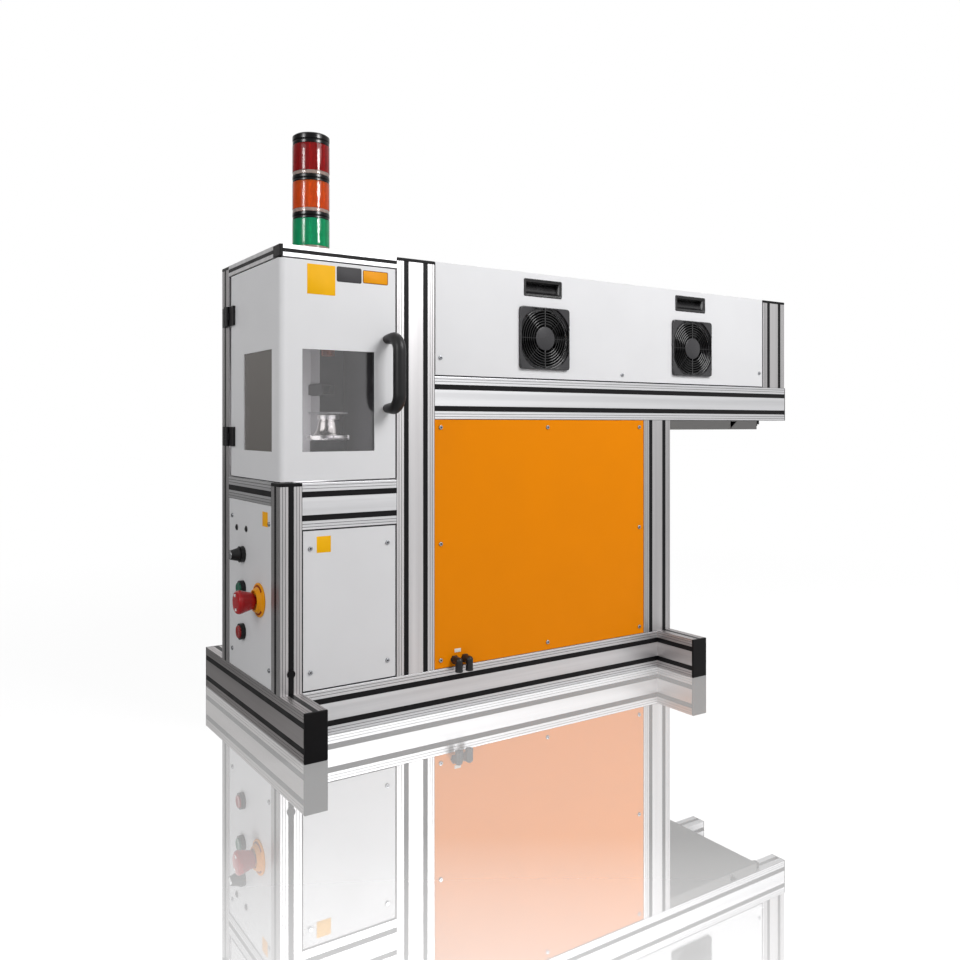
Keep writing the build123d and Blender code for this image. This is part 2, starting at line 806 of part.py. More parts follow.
# Roof plate of the tower, with a hole for the signal tower's stem
with BuildPart() as tower_top_plate:
    block((left + top_rail_deep + butt_gap, front + top_rail_deep + butt_gap, roof - plate_thickness),
          (tall_left - butt_gap, back - top_rail_deep - butt_gap, roof))
    block((left, inner_back - butt_gap, roof - 2 * plate_thickness),
          (left + rail + butt_gap, back, roof + plate_thickness), Mode.SUBTRACT)
    rod((left + tower_x, front + tower_y, roof - 2 * plate_thickness), "+Z",
        signal_stem_radius + screw_play, 3 * plate_thickness, Mode.SUBTRACT)
finish(tower_top_plate, "tower_top_plate")

# Chamber liner: floor, right wall and rear wall in folded sheet
wall_x = tall_left - sheet
wall_y = inner_back - sheet
with BuildPart() as chamber_liner:
    block((left + rail + butt_gap, front + rail, mid_high), (tall_left, inner_back, chamber_floor))
    block((wall_x, front + rail, chamber_floor), (tall_left, inner_back, top_rail_low - butt_gap))
    block((left + rail + butt_gap, wall_y, chamber_floor), (tall_left, inner_back, top_rail_low - butt_gap))
    rod((wall_x - sheet, 0, beam_z), "+X", beam_radius + 2 * panel_gap, 4 * sheet, Mode.SUBTRACT)
    rod((duct_middle, wall_y - sheet, spigot_z), "+Y",
        spigot_radius - spigot_step + spigot_play, 4 * sheet, Mode.SUBTRACT)
finish(chamber_liner, "chamber_liner")

# Door: one folded sheet round the free corner of the tower
door_x = left
door_y = front
with BuildPart() as door_shell:
    with BuildSketch(Plane.XY.offset(door_low)):
        with BuildLine():
            door_right = tall_left - door_gap
            door_far = front + door_side_length
            Polyline((door_x, door_far), (door_x, door_y), (door_right, door_y),
                     (door_right, door_y + door_flange), (door_right - sheet, door_y + door_flange),
                     (door_right - sheet, door_y + sheet),
                     (door_x + sheet, door_y + sheet), (door_x + sheet, door_far), close=True)
        make_face()
    extrude(amount=door_high - door_low)
    for corner, bend in ((sheet, door_bend - sheet), (0.0, door_bend)):
        fold = (door_x + corner, door_y + corner, (door_low + door_high) / 2)
        fillet(door_shell.edges().filter_by(Axis.Z).sort_by_distance(fold)[0], bend)
    block((left + window_front_left, front - sheet, window_low),
          (left + window_front_right, front + 2 * sheet, window_high), Mode.SUBTRACT)
    block((left - sheet, front + window_side_near, window_low),
          (left + 2 * sheet, front + window_side_far, window_high), Mode.SUBTRACT)
    for handle_z in (handle_low, handle_high):
        rod((left + handle_x, front - sheet, handle_z), "+Y",
            screw_radius + screw_play, 3 * sheet, Mode.SUBTRACT)
finish(door_shell, "door_shell")

with BuildPart() as door_windows:
    pane_y = front + sheet + pane_seat
    pane_x = left + sheet + pane_seat
    block((left + window_front_left - pane_overlap, pane_y, window_low - pane_overlap),
          (left + window_front_right + pane_overlap, pane_y + pane_thickness, window_high + pane_overlap))
    block((pane_x, front + window_side_near - pane_overlap, window_low - pane_overlap),
          (pane_x + pane_thickness, front + window_side_far + pane_overlap, window_high + pane_overlap))
finish(door_windows, "door_windows")

# Bow handle on the front leaf, held by two screws from inside
with BuildPart() as door_handle:
    with BuildLine() as bow:
        bar_y = front - handle_reach
        FilletPolyline((left + handle_x, front, handle_low), (left + handle_x, bar_y, handle_low),
                       (left + handle_x, bar_y, handle_high), (left + handle_x, front, handle_high),
                       radius=handle_bend)
    with BuildSketch(Plane(origin=(left + handle_x, front, handle_low), z_dir=(0, -1, 0))):
        Circle(handle_radius)
    sweep(path=bow.wires()[0])
finish(door_handle, "door_handle")

# Hinges: a leaf on the door, a leaf with the pin on the rear post
axis_x = left - hinge_axis_x
axis_y = front + hinge_axis_y
third = hinge_tall / 3
with BuildPart() as door_hinge_leaves:
    for hinge_z in hinge_heights:
        bottom = hinge_z - hinge_tall / 2
        leaf_far = front + door_side_length + cap_edge
        block((left - hinge_leaf, leaf_far - hinge_leaf_width, bottom),
              (left, leaf_far, bottom + hinge_tall))
        rod((axis_x, axis_y, bottom + third + hinge_play), "+Z", knuckle_radius, third - 2 * hinge_play)
        block((axis_x, leaf_far - knuckle_radius, bottom + third + hinge_play),
              (axis_x + hinge_leaf, axis_y, bottom + 2 * third - hinge_play))
        rod((axis_x, axis_y, bottom), "+Z", hinge_pin_radius + hinge_pin_play, hinge_tall, Mode.SUBTRACT)
finish(door_hinge_leaves, "door_hinge_leaves")

with BuildPart() as post_hinge_leaves:
    for hinge_z in hinge_heights:
        bottom = hinge_z - hinge_tall / 2
        leaf_near = front + post_leaf_start
        block((left - hinge_leaf, leaf_near, bottom),
              (left, leaf_near + hinge_leaf_width, bottom + hinge_tall))
        for knuckle_low in (bottom, bottom + 2 * third):
            rod((axis_x, axis_y, knuckle_low), "+Z", knuckle_radius, third)
            block((axis_x, axis_y, knuckle_low),
                  (axis_x + hinge_leaf, leaf_near + knuckle_radius, knuckle_low + third))
        rod((axis_x, axis_y, bottom), "+Z", hinge_pin_radius, hinge_tall)
finish(post_hinge_leaves, "post_hinge_leaves")


# Operator controls
def barrel(y, z, bore):
    """Bezel outside the panel and a threaded barrel with its contact block inside."""
    rod((face_left, y, z), "-X", bezel_radius, bezel_height)
    rod((face_left, y, z), "+X", barrel_radius, barrel_depth)
    block((face_left + barrel_depth / 2, y - bezel_radius, z - bezel_radius),
          (face_left + barrel_depth, y + bezel_radius, z + bezel_radius))
    rod((face_left + barrel_depth - sheet, y, z), "-X", bore, barrel_depth + 2 * bezel_height, Mode.SUBTRACT)


with BuildPart() as control_bezels:
    barrel(front + control_y, key_z, plunger_radius + plunger_play)
    for control_z in (green_z, red_z):
        barrel(front + control_y, control_z, plunger_radius + plunger_play)
        rod((face_left - bezel_height, front + control_y, control_z), "+X",
            button_radius + button_play, bezel_height, Mode.SUBTRACT)
    barrel(front + estop_y, estop_z, estop_stem_radius + plunger_play)
    rod((face_left, front + estop_y, estop_z), "-X", bezel_radius + overcut, bezel_height + overcut,
        Mode.SUBTRACT)
finish(control_bezels, "control_bezels")

with BuildPart() as key_rotor:
    rod((face_left - bezel_height - button_play, front + control_y, key_z), "-X",
        key_radius, key_reach - bezel_height)
    rod((face_left - bezel_height - button_play, front + control_y, key_z), "+X",
        plunger_radius, bezel_height + barrel_depth / 2)
    block((face_left - key_reach - cap_edge, front + control_y - cap_edge, key_z - key_radius / 2),
          (face_left - key_reach + 3 * cap_edge, front + control_y + cap_edge, key_z + key_radius / 2),
          Mode.SUBTRACT)
finish(key_rotor, "key_rotor")


def push_button(z):
    """Button cap standing proud of its bezel, on a plunger in the barrel."""
    cap_back = face_left - button_travel - button_play
    rod((cap_back, front + control_y, z), "-X", button_radius,
        bezel_height + button_proud - button_travel - button_play)
    rod((cap_back, front + control_y, z), "+X", plunger_radius, barrel_depth / 2)


with BuildPart() as green_button:
    push_button(green_z)
finish(green_button, "green_button")

with BuildPart() as red_button:
    push_button(red_z)
finish(red_button, "red_button")

with BuildPart() as estop_plate:
    with BuildSketch(Plane(origin=(0, front + estop_y, estop_z), x_dir=(1, 0, 0), z_dir=(0, -1, 0))):
        with BuildLine():
            Polyline((face_left, estop_stem_radius + plate_bore_play), (face_left, estop_plate_radius),
                     (face_left - estop_plate_rim, estop_plate_radius),
                     (face_left - estop_collar_height, estop_collar_radius),
                     (face_left - estop_collar_height, estop_stem_radius + plate_bore_play), close=True)
        make_face()
    revolve(axis=Axis((0, front + estop_y, estop_z), (1, 0, 0)))
finish(estop_plate, "estop_plate")

estop_front = left - estop_reach
estop_rear = left - estop_head_back
stem_front = estop_front + estop_stem_cover
with BuildPart() as estop_stem:
    rod((stem_front, front + estop_y, estop_z), "+X", estop_stem_radius,
        face_left + barrel_depth / 2 - stem_front)
finish(estop_stem, "estop_stem")

with BuildPart() as estop_head:
    with BuildSketch(Plane(origin=(0, front + estop_y, estop_z), x_dir=(1, 0, 0), z_dir=(0, -1, 0))):
        with BuildLine():
            Polyline((estop_front, 0), (estop_front, estop_head_radius - estop_crown),
                     (estop_front + estop_crown_depth, estop_head_radius - cap_edge),
                     (estop_front + estop_shoulder_depth, estop_head_radius),
                     (estop_rear, estop_neck_radius), (estop_rear, 0), close=True)
        make_face()
    revolve(axis=Axis((0, front + estop_y, estop_z), (1, 0, 0)))
    rod((stem_front - hinge_play, front + estop_y, estop_z), "+X",
        estop_stem_radius + plunger_play, estop_reach, Mode.SUBTRACT)
finish(estop_head, "estop_head")

with BuildPart() as indicator_lamps:
    for lamp_y, lamp_z in lamp_places:
        rod((face_left, front + lamp_y, lamp_z), "-X", lamp_bezel_radius, lamp_proud)
        rod((face_left, front + lamp_y, lamp_z), "+X", lamp_radius, lamp_depth)
finish(indicator_lamps, "indicator_lamps")

# Fans in the front of the laser housing: one of each made at the origin, facing -Y
housing_front = face_front + sheet
fan_spots = [(left + x, 0, fan_z) for x in fan_places]
guard_mouth = fan_guard - 2 * guard_rim
guard_rings = []
guard_ring = guard_hub_radius + guard_ring_pitch
while guard_ring + guard_wire / 2 < fan_guard / 2:
    guard_rings.append(guard_ring)
    guard_ring += guard_ring_pitch
with BuildPart() as one_guard:
    with BuildSketch(Plane(origin=(0, face_front, 0), x_dir=(1, 0, 0), z_dir=(0, -1, 0))):
        RectangleRounded(fan_guard, fan_guard, guard_corner)
        RectangleRounded(guard_mouth, guard_mouth, guard_mouth_corner, mode=Mode.SUBTRACT)
    extrude(amount=fan_guard_thickness)
    with BuildSketch(Plane(origin=(0, face_front - guard_wire, 0), x_dir=(1, 0, 0), z_dir=(0, -1, 0))):
        for guard_ring in reversed(guard_rings):
            Circle(guard_ring + guard_wire / 2)
            Circle(guard_ring - guard_wire / 2, mode=Mode.SUBTRACT)
        Circle(guard_hub_radius)
        with Locations(*[Location((0, 0), turn) for turn in guard_turns]):
            Rectangle(guard_mouth + guard_wire, guard_wire)
    extrude(amount=guard_wire)
with BuildPart() as fan_guards:
    with Locations(*fan_spots):
        add(one_guard.part)
finish(fan_guards, "fan_guards")

fan_motor_y = housing_front + fan_frame_depth - fan_motor_length
with BuildPart() as one_housing:
    with BuildSketch(Plane(origin=(0, housing_front, 0), x_dir=(1, 0, 0), z_dir=(0, 1, 0))):
        Rectangle(fan_frame, fan_frame)
        Circle(fan_bore_radius, mode=Mode.SUBTRACT)
    extrude(amount=fan_frame_depth)
    with BuildSketch(Plane(origin=(0, fan_motor_y, 0), x_dir=(1, 0, 0), z_dir=(0, 1, 0))):
        Circle(fan_hub_radius)
        with Locations(*[Location((0, 0), turn) for turn in strut_turns]):
            Rectangle(2 * fan_bore_radius + guard_wire, strut_width)
    extrude(amount=fan_motor_length)
    rod((0, fan_motor_y, 0), "+Y", fan_shaft_radius + fan_shaft_play, shaft_socket, Mode.SUBTRACT)
with BuildPart() as fan_housings:
    with Locations(*fan_spots):
        add(one_housing.part)
finish(fan_housings, "fan_housings")

fan_hub_front = housing_front + fan_gap
fan_hub_length = fan_motor_y - fan_hub_front - fan_end_play
shaft_engaged = shaft_socket


def fan_rotor(x):
    """Hub, shaft and pitched blades turning inside the fan frame."""
    rod((x, fan_hub_front, fan_z), "+Y", fan_hub_radius, fan_hub_length)
    rod((x, fan_hub_front + fan_hub_length, fan_z), "+Y", fan_shaft_radius, shaft_engaged)
    blade_low = fan_hub_radius - guard_wire
    blade_length = fan_blade_radius - blade_low
    spots = []
    for index in range(fan_blade_count):
        turn = index * 360.0 / fan_blade_count
        around = Location((x, fan_hub_front + fan_hub_length / 2, fan_z), (0, turn, 0))
        spots.append(around * Location((blade_low + blade_length / 2, 0, 0), (fan_blade_pitch, 0, 0)))
    with Locations(*spots):
        Box(blade_length, fan_hub_length, fan_blade_thickness)


with BuildPart() as left_fan_rotor:
    fan_rotor(left + fan_places[0])
finish(left_fan_rotor, "left_fan_rotor")

with BuildPart() as right_fan_rotor:
    fan_rotor(left + fan_places[1])
finish(right_fan_rotor, "right_fan_rotor")

# Recessed grips for lifting off the housing's front
with BuildPart() as hood_grips:
    for grip_x in grip_places:
        x = left + grip_x
        pocket_x = grip_width / 2 - grip_lip - grip_wall
        pocket_z = grip_tall / 2 - grip_lip - grip_wall
        block((x - grip_width / 2, face_front - grip_proud, grip_z - grip_tall / 2),
              (x + grip_width / 2, face_front, grip_z + grip_tall / 2))
        shell_x = pocket_x + grip_wall - strip_play
        shell_z = pocket_z + grip_wall - strip_play
        block((x - shell_x, face_front, grip_z - shell_z),
              (x + shell_x, face_front + grip_depth, grip_z + shell_z))
        block((x - pocket_x, face_front - grip_proud, grip_z - pocket_z),
              (x + pocket_x, face_front + grip_depth - grip_wall, grip_z + pocket_z), Mode.SUBTRACT)
finish(hood_grips, "hood_grips")

# Signal tower
signal_x = left + tower_x
signal_y = front + tower_y
with BuildPart() as signal_base:
    rod((signal_x, signal_y, roof), "+Z", signal_radius - signal_base_step, signal_base_top - roof)
    rod((signal_x, signal_y, roof), "-Z", signal_stem_radius, signal_stem_length)
    fillet(signal_base.faces().sort_by(Axis.Z)[-1].edges(), cap_edge)
finish(signal_base, "signal_base")


def signal_lens(level):
    """Clear coloured sleeve between two collars of the signal tower."""
    low = signal_base_top + level * signal_pitch + butt_gap
    tall = signal_pitch - signal_collar - 2 * butt_gap
    rod((signal_x, signal_y, low), "+Z", signal_radius, tall)
    rod((signal_x, signal_y, low - overcut), "+Z", signal_radius - signal_wall,
        tall + 2 * overcut, Mode.SUBTRACT)


with BuildPart() as green_lens:
    signal_lens(0)
finish(green_lens, "green_lens")

with BuildPart() as amber_lens:
    signal_lens(1)
finish(amber_lens, "amber_lens")

with BuildPart() as red_lens:
    signal_lens(2)
finish(red_lens, "red_lens")

with BuildPart() as signal_collars:
    for level in range(signal_levels):
        collar_low = signal_base_top + (level + 1) * signal_pitch - signal_collar
        collar_tall = signal_cap_height if level == signal_levels - 1 else signal_collar
        rod((signal_x, signal_y, collar_low), "+Z", signal_radius, collar_tall)
        rod((signal_x, signal_y, collar_low), "-Z", signal_stem_radius / 2,
            signal_pitch - signal_collar - butt_gap)
    fillet(signal_collars.faces().sort_by(Axis.Z)[-1].edges(), signal_cap_edge)
finish(signal_collars, "signal_collars")

# Chuck: fixed base, lifting spindle, turning head and the blocked lens
cx = left + chuck_x
cy = front + chuck_y
with BuildPart() as chuck_base:
    rod((cx, cy, chamber_floor), "+Z", chuck_radius, chuck_top - chamber_floor)
    rod((cx, cy, chuck_top - spindle_depth), "+Z", chuck_bore_radius + spindle_play, spindle_depth,
        Mode.SUBTRACT)
    rod((cx, cy, chamber_floor), "+Z", chuck_radius + chuck_foot, chuck_foot)
    fillet(chuck_base.faces().sort_by(Axis.Z)[-1].edges().sort_by(SortBy.RADIUS)[-1], cap_edge)
finish(chuck_base, "chuck_base")

with BuildPart() as chuck_spindle:
    spindle_low = chuck_top - spindle_depth + spindle_floor_gap
    rod((cx, cy, spindle_low), "+Z", chuck_bore_radius, chuck_top + spindle_shoulder - spindle_low)
    rod((cx, cy, spindle_low), "+Z", spindle_stub_radius, spindle_top + flange_height - spindle_low)
finish(chuck_spindle, "chuck_spindle")

head_base = chuck_top + head_lift
flange_top = head_base + flange_height
with BuildPart() as chuck_head:
    with BuildSketch(Plane(origin=(cx, cy, 0), x_dir=(1, 0, 0), z_dir=(0, -1, 0))):
        with BuildLine():
            Polyline((0, head_base), (flange_radius, head_base), (flange_radius, flange_top),
                     (bell_low_radius + bell_foot, flange_top), (bell_low_radius, flange_top + bell_foot),
                     (bell_high_radius, flange_top + bell_rise),
                     (bell_high_radius - neck_groove, neck_z - neck_groove_tall),
                     (bell_high_radius - neck_groove, neck_z), (bell_high_radius, neck_z),
                     (bell_high_radius, neck_z + neck_height), (0, neck_z + neck_height), close=True)
        make_face()
    revolve(axis=Axis((cx, cy, 0), (0, 0, 1)))
    for index in range(flange_notches):
        angle = index * 360.0 / flange_notches + flange_turn
        rim = Location((flange_radius, 0, head_base + flange_height / 2))
        with Locations(Location((cx, cy, 0), (0, 0, angle)) * rim):
            Box(2 * flange_notch_depth, flange_notch_width, flange_height + overcut, mode=Mode.SUBTRACT)
    rod((cx, cy, head_base - overcut), "+Z", spindle_stub_radius + spindle_play,
        spindle_top + flange_height + butt_gap + overcut - head_base, Mode.SUBTRACT)
finish(chuck_head, "chuck_head")

lens_seat = neck_z + neck_height
with BuildPart() as lens_blank:
    with BuildSketch(Plane(origin=(cx, cy, 0), x_dir=(1, 0, 0), z_dir=(0, -1, 0))):
        with BuildLine():
            Polyline((0, lens_seat + butt_gap), (bell_high_radius / 2, lens_seat + butt_gap),
                     (lens_radius, lens_edge_z - lens_edge), (lens_radius, lens_edge_z),
                     (0, lens_edge_z - lens_hollow), close=True)
        make_face()
    revolve(axis=Axis((cx, cy, 0), (0, 0, 1)))
finish(lens_blank, "lens_blank")

# Scan head on the chamber's right wall, with its two mirrors and the focusing lens
head_right = wall_x
head_x = left + head_left
head_y0 = front + head_front
head_y1 = front + head_back
with BuildPart() as scan_head:
    block((head_x, head_y0, head_low), (head_right, head_y1, head_high))
    block((head_x + head_wall, head_y0 + head_wall, head_low + head_wall),
          (head_right - head_wall, head_y1 - head_wall, head_high - head_wall), Mode.SUBTRACT)
    rod((head_right + sheet, 0, beam_z), "-X", beam_radius + 2 * butt_gap, head_wall * 2, Mode.SUBTRACT)
    rod((cx, cy, head_low - sheet), "+Z", lens_spigot_radius + butt_gap, head_wall + 2 * sheet,
        Mode.SUBTRACT)
    rod((cx, 0, head_high - head_wall - overcut), "+Z", mirror_shaft_radius + mirror_shaft_play,
        head_wall + 2 * overcut, Mode.SUBTRACT)
    rod((head_x - overcut, cy, beam_z), "+X", mirror_shaft_radius + mirror_shaft_play,
        head_wall + 2 * overcut, Mode.SUBTRACT)
finish(scan_head, "scan_head")

with BuildPart() as scan_lens:
    rod((cx, cy, lens_barrel_low), "+Z", lens_barrel_radius, head_low - lens_barrel_low - butt_gap)
    rod((cx, cy, lens_barrel_low), "+Z", lens_spigot_radius, head_low + head_wall - lens_barrel_low)
    rod((cx, cy, lens_nose_low), "+Z", lens_nose_radius, lens_barrel_low - lens_nose_low)
finish(scan_lens, "scan_lens")

with BuildPart() as galvo_mirror_x:
    with Locations(Location((cx, 0, beam_z), (0, 0, mirror_turn))):
        Box(mirror_width, mirror_thickness, mirror_tall)
    rod((cx, 0, beam_z + mirror_tall / 2 - overcut), "+Z", mirror_shaft_radius,
        head_high - beam_z - mirror_tall / 2 + overcut)
finish(galvo_mirror_x, "galvo_mirror_x")

with BuildPart() as galvo_mirror_y:
    with Locations(Location((cx, cy, beam_z), (mirror_turn, 0, 0))):
        Box(mirror_tall, mirror_width, mirror_thickness)
    shaft_start = cx - mirror_tall / 2 + overcut
    rod((shaft_start, cy, beam_z), "-X", mirror_shaft_radius, shaft_start - head_x)
finish(galvo_mirror_y, "galvo_mirror_y")

# Laser with cooling fins, its feet and the beam tube that reaches the scan head
laser_x0 = left + laser_start
laser_x1 = laser_x0 + laser_length
fin_count = int(laser_length / laser_fin_pitch) - 1
fin_gaps = []
for index in range(fin_count):
    fin_x = laser_x0 + (index + 1) * laser_fin_pitch
    fin_gaps.append(((fin_x, -laser_half_width, laser_low),
                     (fin_x + laser_fin_gap, -laser_half_width + laser_fin_depth, laser_high)))
with BuildPart() as laser_unit:
    block((laser_x0, -laser_half_width, laser_low), (laser_x1, laser_half_width, laser_high))
    blocks(fin_gaps, Mode.SUBTRACT)
    for foot_x in (laser_x0 + laser_foot, laser_x1 - 2 * laser_foot):
        block((foot_x, -laser_half_width + laser_fin_depth, laser_plate_high),
              (foot_x + laser_foot, laser_half_width, laser_low))
    rod((laser_x0, 0, beam_z), "-X", beam_radius, laser_x0 - head_right + head_wall - butt_gap)
finish(laser_unit, "laser_unit")

# Extraction duct in the rear corner of the chamber, with its nozzle and rear spigot
with BuildPart() as extraction_duct:
    duct_x0 = left + duct_left
    duct_x1 = wall_x - butt_gap
    duct_y0 = front + duct_front
    duct_y1 = wall_y - butt_gap
    duct_high = head_low - duct_head_gap
    block((duct_x0, duct_y0, chamber_floor + butt_gap), (duct_x1, duct_y1, duct_high))
    block((left + nozzle_left, front + nozzle_front, nozzle_low),
          (left + nozzle_right, duct_y1, nozzle_high))
    block((duct_x0 + duct_wall, duct_y0 + duct_wall, chamber_floor + duct_wall),
          (duct_x1 - duct_wall, duct_y1 - duct_wall, duct_high - duct_wall), Mode.SUBTRACT)
    block((left + nozzle_left + duct_wall, front + nozzle_front - overcut, nozzle_low + duct_wall),
          (left + nozzle_right - duct_wall, duct_y1 - duct_wall, nozzle_high - duct_wall), Mode.SUBTRACT)
    rod((duct_middle, duct_y1 - duct_wall, spigot_z), "+Y", spigot_radius - spigot_step,
        back - duct_y1 + duct_wall)
    rod((duct_middle, back, spigot_z), "+Y", spigot_radius, spigot_length)
    rod((duct_middle, duct_y1 - 2 * duct_wall, spigot_z), "+Y", spigot_radius - spigot_wall,
        back + spigot_length, Mode.SUBTRACT)
finish(extraction_duct, "extraction_duct")

# Electronics in the bay behind the orange panel
def vented_case(corner, size, first_vent, vent_count, vent_low, vent_tall):
    """Closed case on the floor plate with upright vent slots in its front."""
    x, y = corner
    block((x, y, electronics_floor), (x + size[0], y + size[1], electronics_floor + size[2]))
    vents = []
    for index in range(vent_count):
        vent_x = x + first_vent + index * vent_pitch
        vents.append(((vent_x, y - overcut, electronics_floor + vent_low),
                      (vent_x + vent_width, y + vent_depth, electronics_floor + vent_low + vent_tall)))
    blocks(vents, Mode.SUBTRACT)


electronics_floor = base_top + plate_thickness
with BuildPart() as power_supply:
    vented_case((bay_left + supply_inset, supply_front), supply_size, vent_inset, supply_vents,
                supply_vent_low, supply_vent_tall)
finish(power_supply, "power_supply")

with BuildPart() as control_computer:
    vented_case((bay_left + computer_inset, supply_front), computer_size, vent_inset, computer_vents,
                computer_vent_low, computer_vent_tall)
finish(control_computer, "control_computer")

# Elbow air fittings low on the orange panel, outlets facing down
with BuildPart() as air_fittings:
    for fitting_x in fitting_places:
        x = left + fitting_x
        elbow_y = face_front - fitting_reach
        rod((x, face_front, fitting_z), "-Y", fitting_body_radius, fitting_reach)
        rod((x, face_front, fitting_z), "+Y", fitting_thread_radius, fitting_thread_length)
        with Locations((x, elbow_y, fitting_z)):
            Sphere(fitting_body_radius)
        rod((x, elbow_y, fitting_z), "-Z", fitting_body_radius, fitting_drop)
        rod((x, elbow_y, fitting_z - fitting_drop), "+Z", fitting_bore_radius, fitting_bore_depth,
            Mode.SUBTRACT)
finish(air_fittings, "air_fittings")

# Mains inlet in the rear of the tower: flange, housing with its three pins, and the rocker above
with BuildPart() as mains_inlet:
    half_width = inlet_width / 2
    half_tall = inlet_tall / 2
    inlet_middle = left + inlet_x
    inlet_face = face_back + inlet_flange
    recess_back = face_back - inlet_recess_depth
    recess_low = inlet_z - inlet_recess_drop
    block((inlet_middle - half_width - inlet_rim, face_back, inlet_z - half_tall - inlet_rim),
          (inlet_middle + half_width + inlet_rim, inlet_face, inlet_z + half_tall + inlet_rim))
    body_half = half_width - strip_play
    body_tall = half_tall - strip_play
    block((inlet_middle - body_half, face_back - inlet_depth, inlet_z - body_tall),
          (inlet_middle + body_half, face_back, inlet_z + body_tall))
    block((inlet_middle - inlet_recess_half, recess_back, recess_low),
          (inlet_middle + inlet_recess_half, inlet_face, recess_low + inlet_recess_tall), Mode.SUBTRACT)
    blocks([((inlet_middle + offset - pin_half, recess_back, recess_low + pin_rise),
             (inlet_middle + offset + pin_half, recess_back + pin_length, recess_low + pin_rise + pin_tall))
            for offset in (-pin_pitch, 0.0, pin_pitch)])
    block((inlet_middle - rocker_half, inlet_face, inlet_z + rocker_rise),
          (inlet_middle + rocker_half, inlet_face + rocker_proud, inlet_z + rocker_rise + rocker_tall))
finish(mains_inlet, "mains_inlet")
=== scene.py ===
from math import cos, pi, radians, sin

import bmesh
import bpy
import numpy as np
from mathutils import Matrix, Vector


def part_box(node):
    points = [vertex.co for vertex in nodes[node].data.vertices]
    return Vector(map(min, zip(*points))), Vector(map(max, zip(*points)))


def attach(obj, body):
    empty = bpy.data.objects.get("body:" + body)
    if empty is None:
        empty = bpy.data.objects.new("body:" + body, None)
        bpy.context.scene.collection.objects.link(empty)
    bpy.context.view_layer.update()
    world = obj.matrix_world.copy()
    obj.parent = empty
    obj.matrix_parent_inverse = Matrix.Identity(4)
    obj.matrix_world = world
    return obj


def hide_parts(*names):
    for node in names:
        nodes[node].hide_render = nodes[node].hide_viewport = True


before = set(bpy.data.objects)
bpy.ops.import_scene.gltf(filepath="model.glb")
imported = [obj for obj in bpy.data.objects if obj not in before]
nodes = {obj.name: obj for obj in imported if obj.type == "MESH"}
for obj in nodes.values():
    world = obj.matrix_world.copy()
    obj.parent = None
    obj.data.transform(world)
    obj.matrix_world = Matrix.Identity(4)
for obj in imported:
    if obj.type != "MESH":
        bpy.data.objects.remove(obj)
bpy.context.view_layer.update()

# Slotted rails: aluminium extruded with T slots, anodised satin, cut to length and bolted end to side.
# The die leaves fine lines along each bar and a few wider bands where the anodising took differently.
# Lengths are in mm throughout: the helpers that write into Blender turn them into metres.
MM = 0.001


def linear(code, share=1.0):
    """Linear colour of an sRGB hex code, times a share: c / 12.92 up to 0.04045, above it
    ((c + 0.055) / 1.055) ** 2.4."""
    srgb = np.array([int(code[i:i + 2], 16) for i in (1, 3, 5)]) / 255
    low, high = srgb / 12.92, ((srgb + 0.055) / 1.055) ** 2.4
    return (*(np.where(srgb > 0.04045, high, low) * share), 1.0)


def add_node(tree, kind, inputs=(), **settings):
    """Adds a shader node, its kind without the word ShaderNode: settings go on the node, inputs on its
    sockets as values or as links. A node among the inputs is linked by its first output."""
    made = tree.nodes.new("ShaderNode" + kind)
    for name, value in settings.items():
        setattr(made, name, value)
    for name, value in dict(inputs).items():
        if isinstance(value, bpy.types.Node):
            value = value.outputs[0]
        if isinstance(value, bpy.types.NodeSocket):
            tree.links.new(value, made.inputs[name])
        else:
            made.inputs[name].default_value = value
    return made


def new_material(name):
    """An empty node material, its tree and its Object coordinates."""
    material = bpy.data.materials.new(name)
    material.use_nodes = True
    tree = material.node_tree
    tree.nodes.clear()
    return material, tree, add_node(tree, "TexCoord").outputs["Object"]


def stretched(size, along, length):
    """Scale on each axis of a pattern that has a size across and another length along one axis."""
    return [1 / ((length if axis == along else size) * MM) for axis in range(3)]


def surfaced(tree, colour, sheen, low, high, grain, strength, depth, **sockets):
    """Ends a material in the principled shader. Its roughness goes from low to high as the sheen, a noise,
    goes from 0.3 to 0.7, and its bumps follow the grain. Further sockets are named with _ for a space."""
    rough = add_node(tree, "MapRange", {"Value": sheen, "From Min": 0.3, "From Max": 0.7, "To Min": low,
                                        "To Max": high})
    bumps = add_node(tree, "Bump", {"Height": grain, "Strength": strength, "Distance": depth * MM})
    named = {name.replace("_", " "): value for name, value in sockets.items()}
    shader = add_node(tree, "BsdfPrincipled", {"Base Color": colour, "Roughness": rough, "Normal": bumps,
                                               **named})
    add_node(tree, "OutputMaterial", {"Surface": shader})


def shaded_hollows(tree, spot, colour, hollows, shade_colour):
    """Colour with painted shade in the hollows: each is (axis, place), the plane that the hollow's floor lies
    in, and whatever lies within 0.3 mm of it takes the shade's colour."""
    places = add_node(tree, "SeparateXYZ", {"Vector": spot})
    for axis, place in hollows:
        on_floor = add_node(tree, "Math", {0: places.outputs[axis], 1: place * MM, 2: 0.3 * MM},
                            operation="COMPARE")
        colour = add_node(tree, "Mix", {"Factor": on_floor, 6: colour, 7: linear(shade_colour)},
                          data_type="RGBA").outputs["Result"]
    return colour


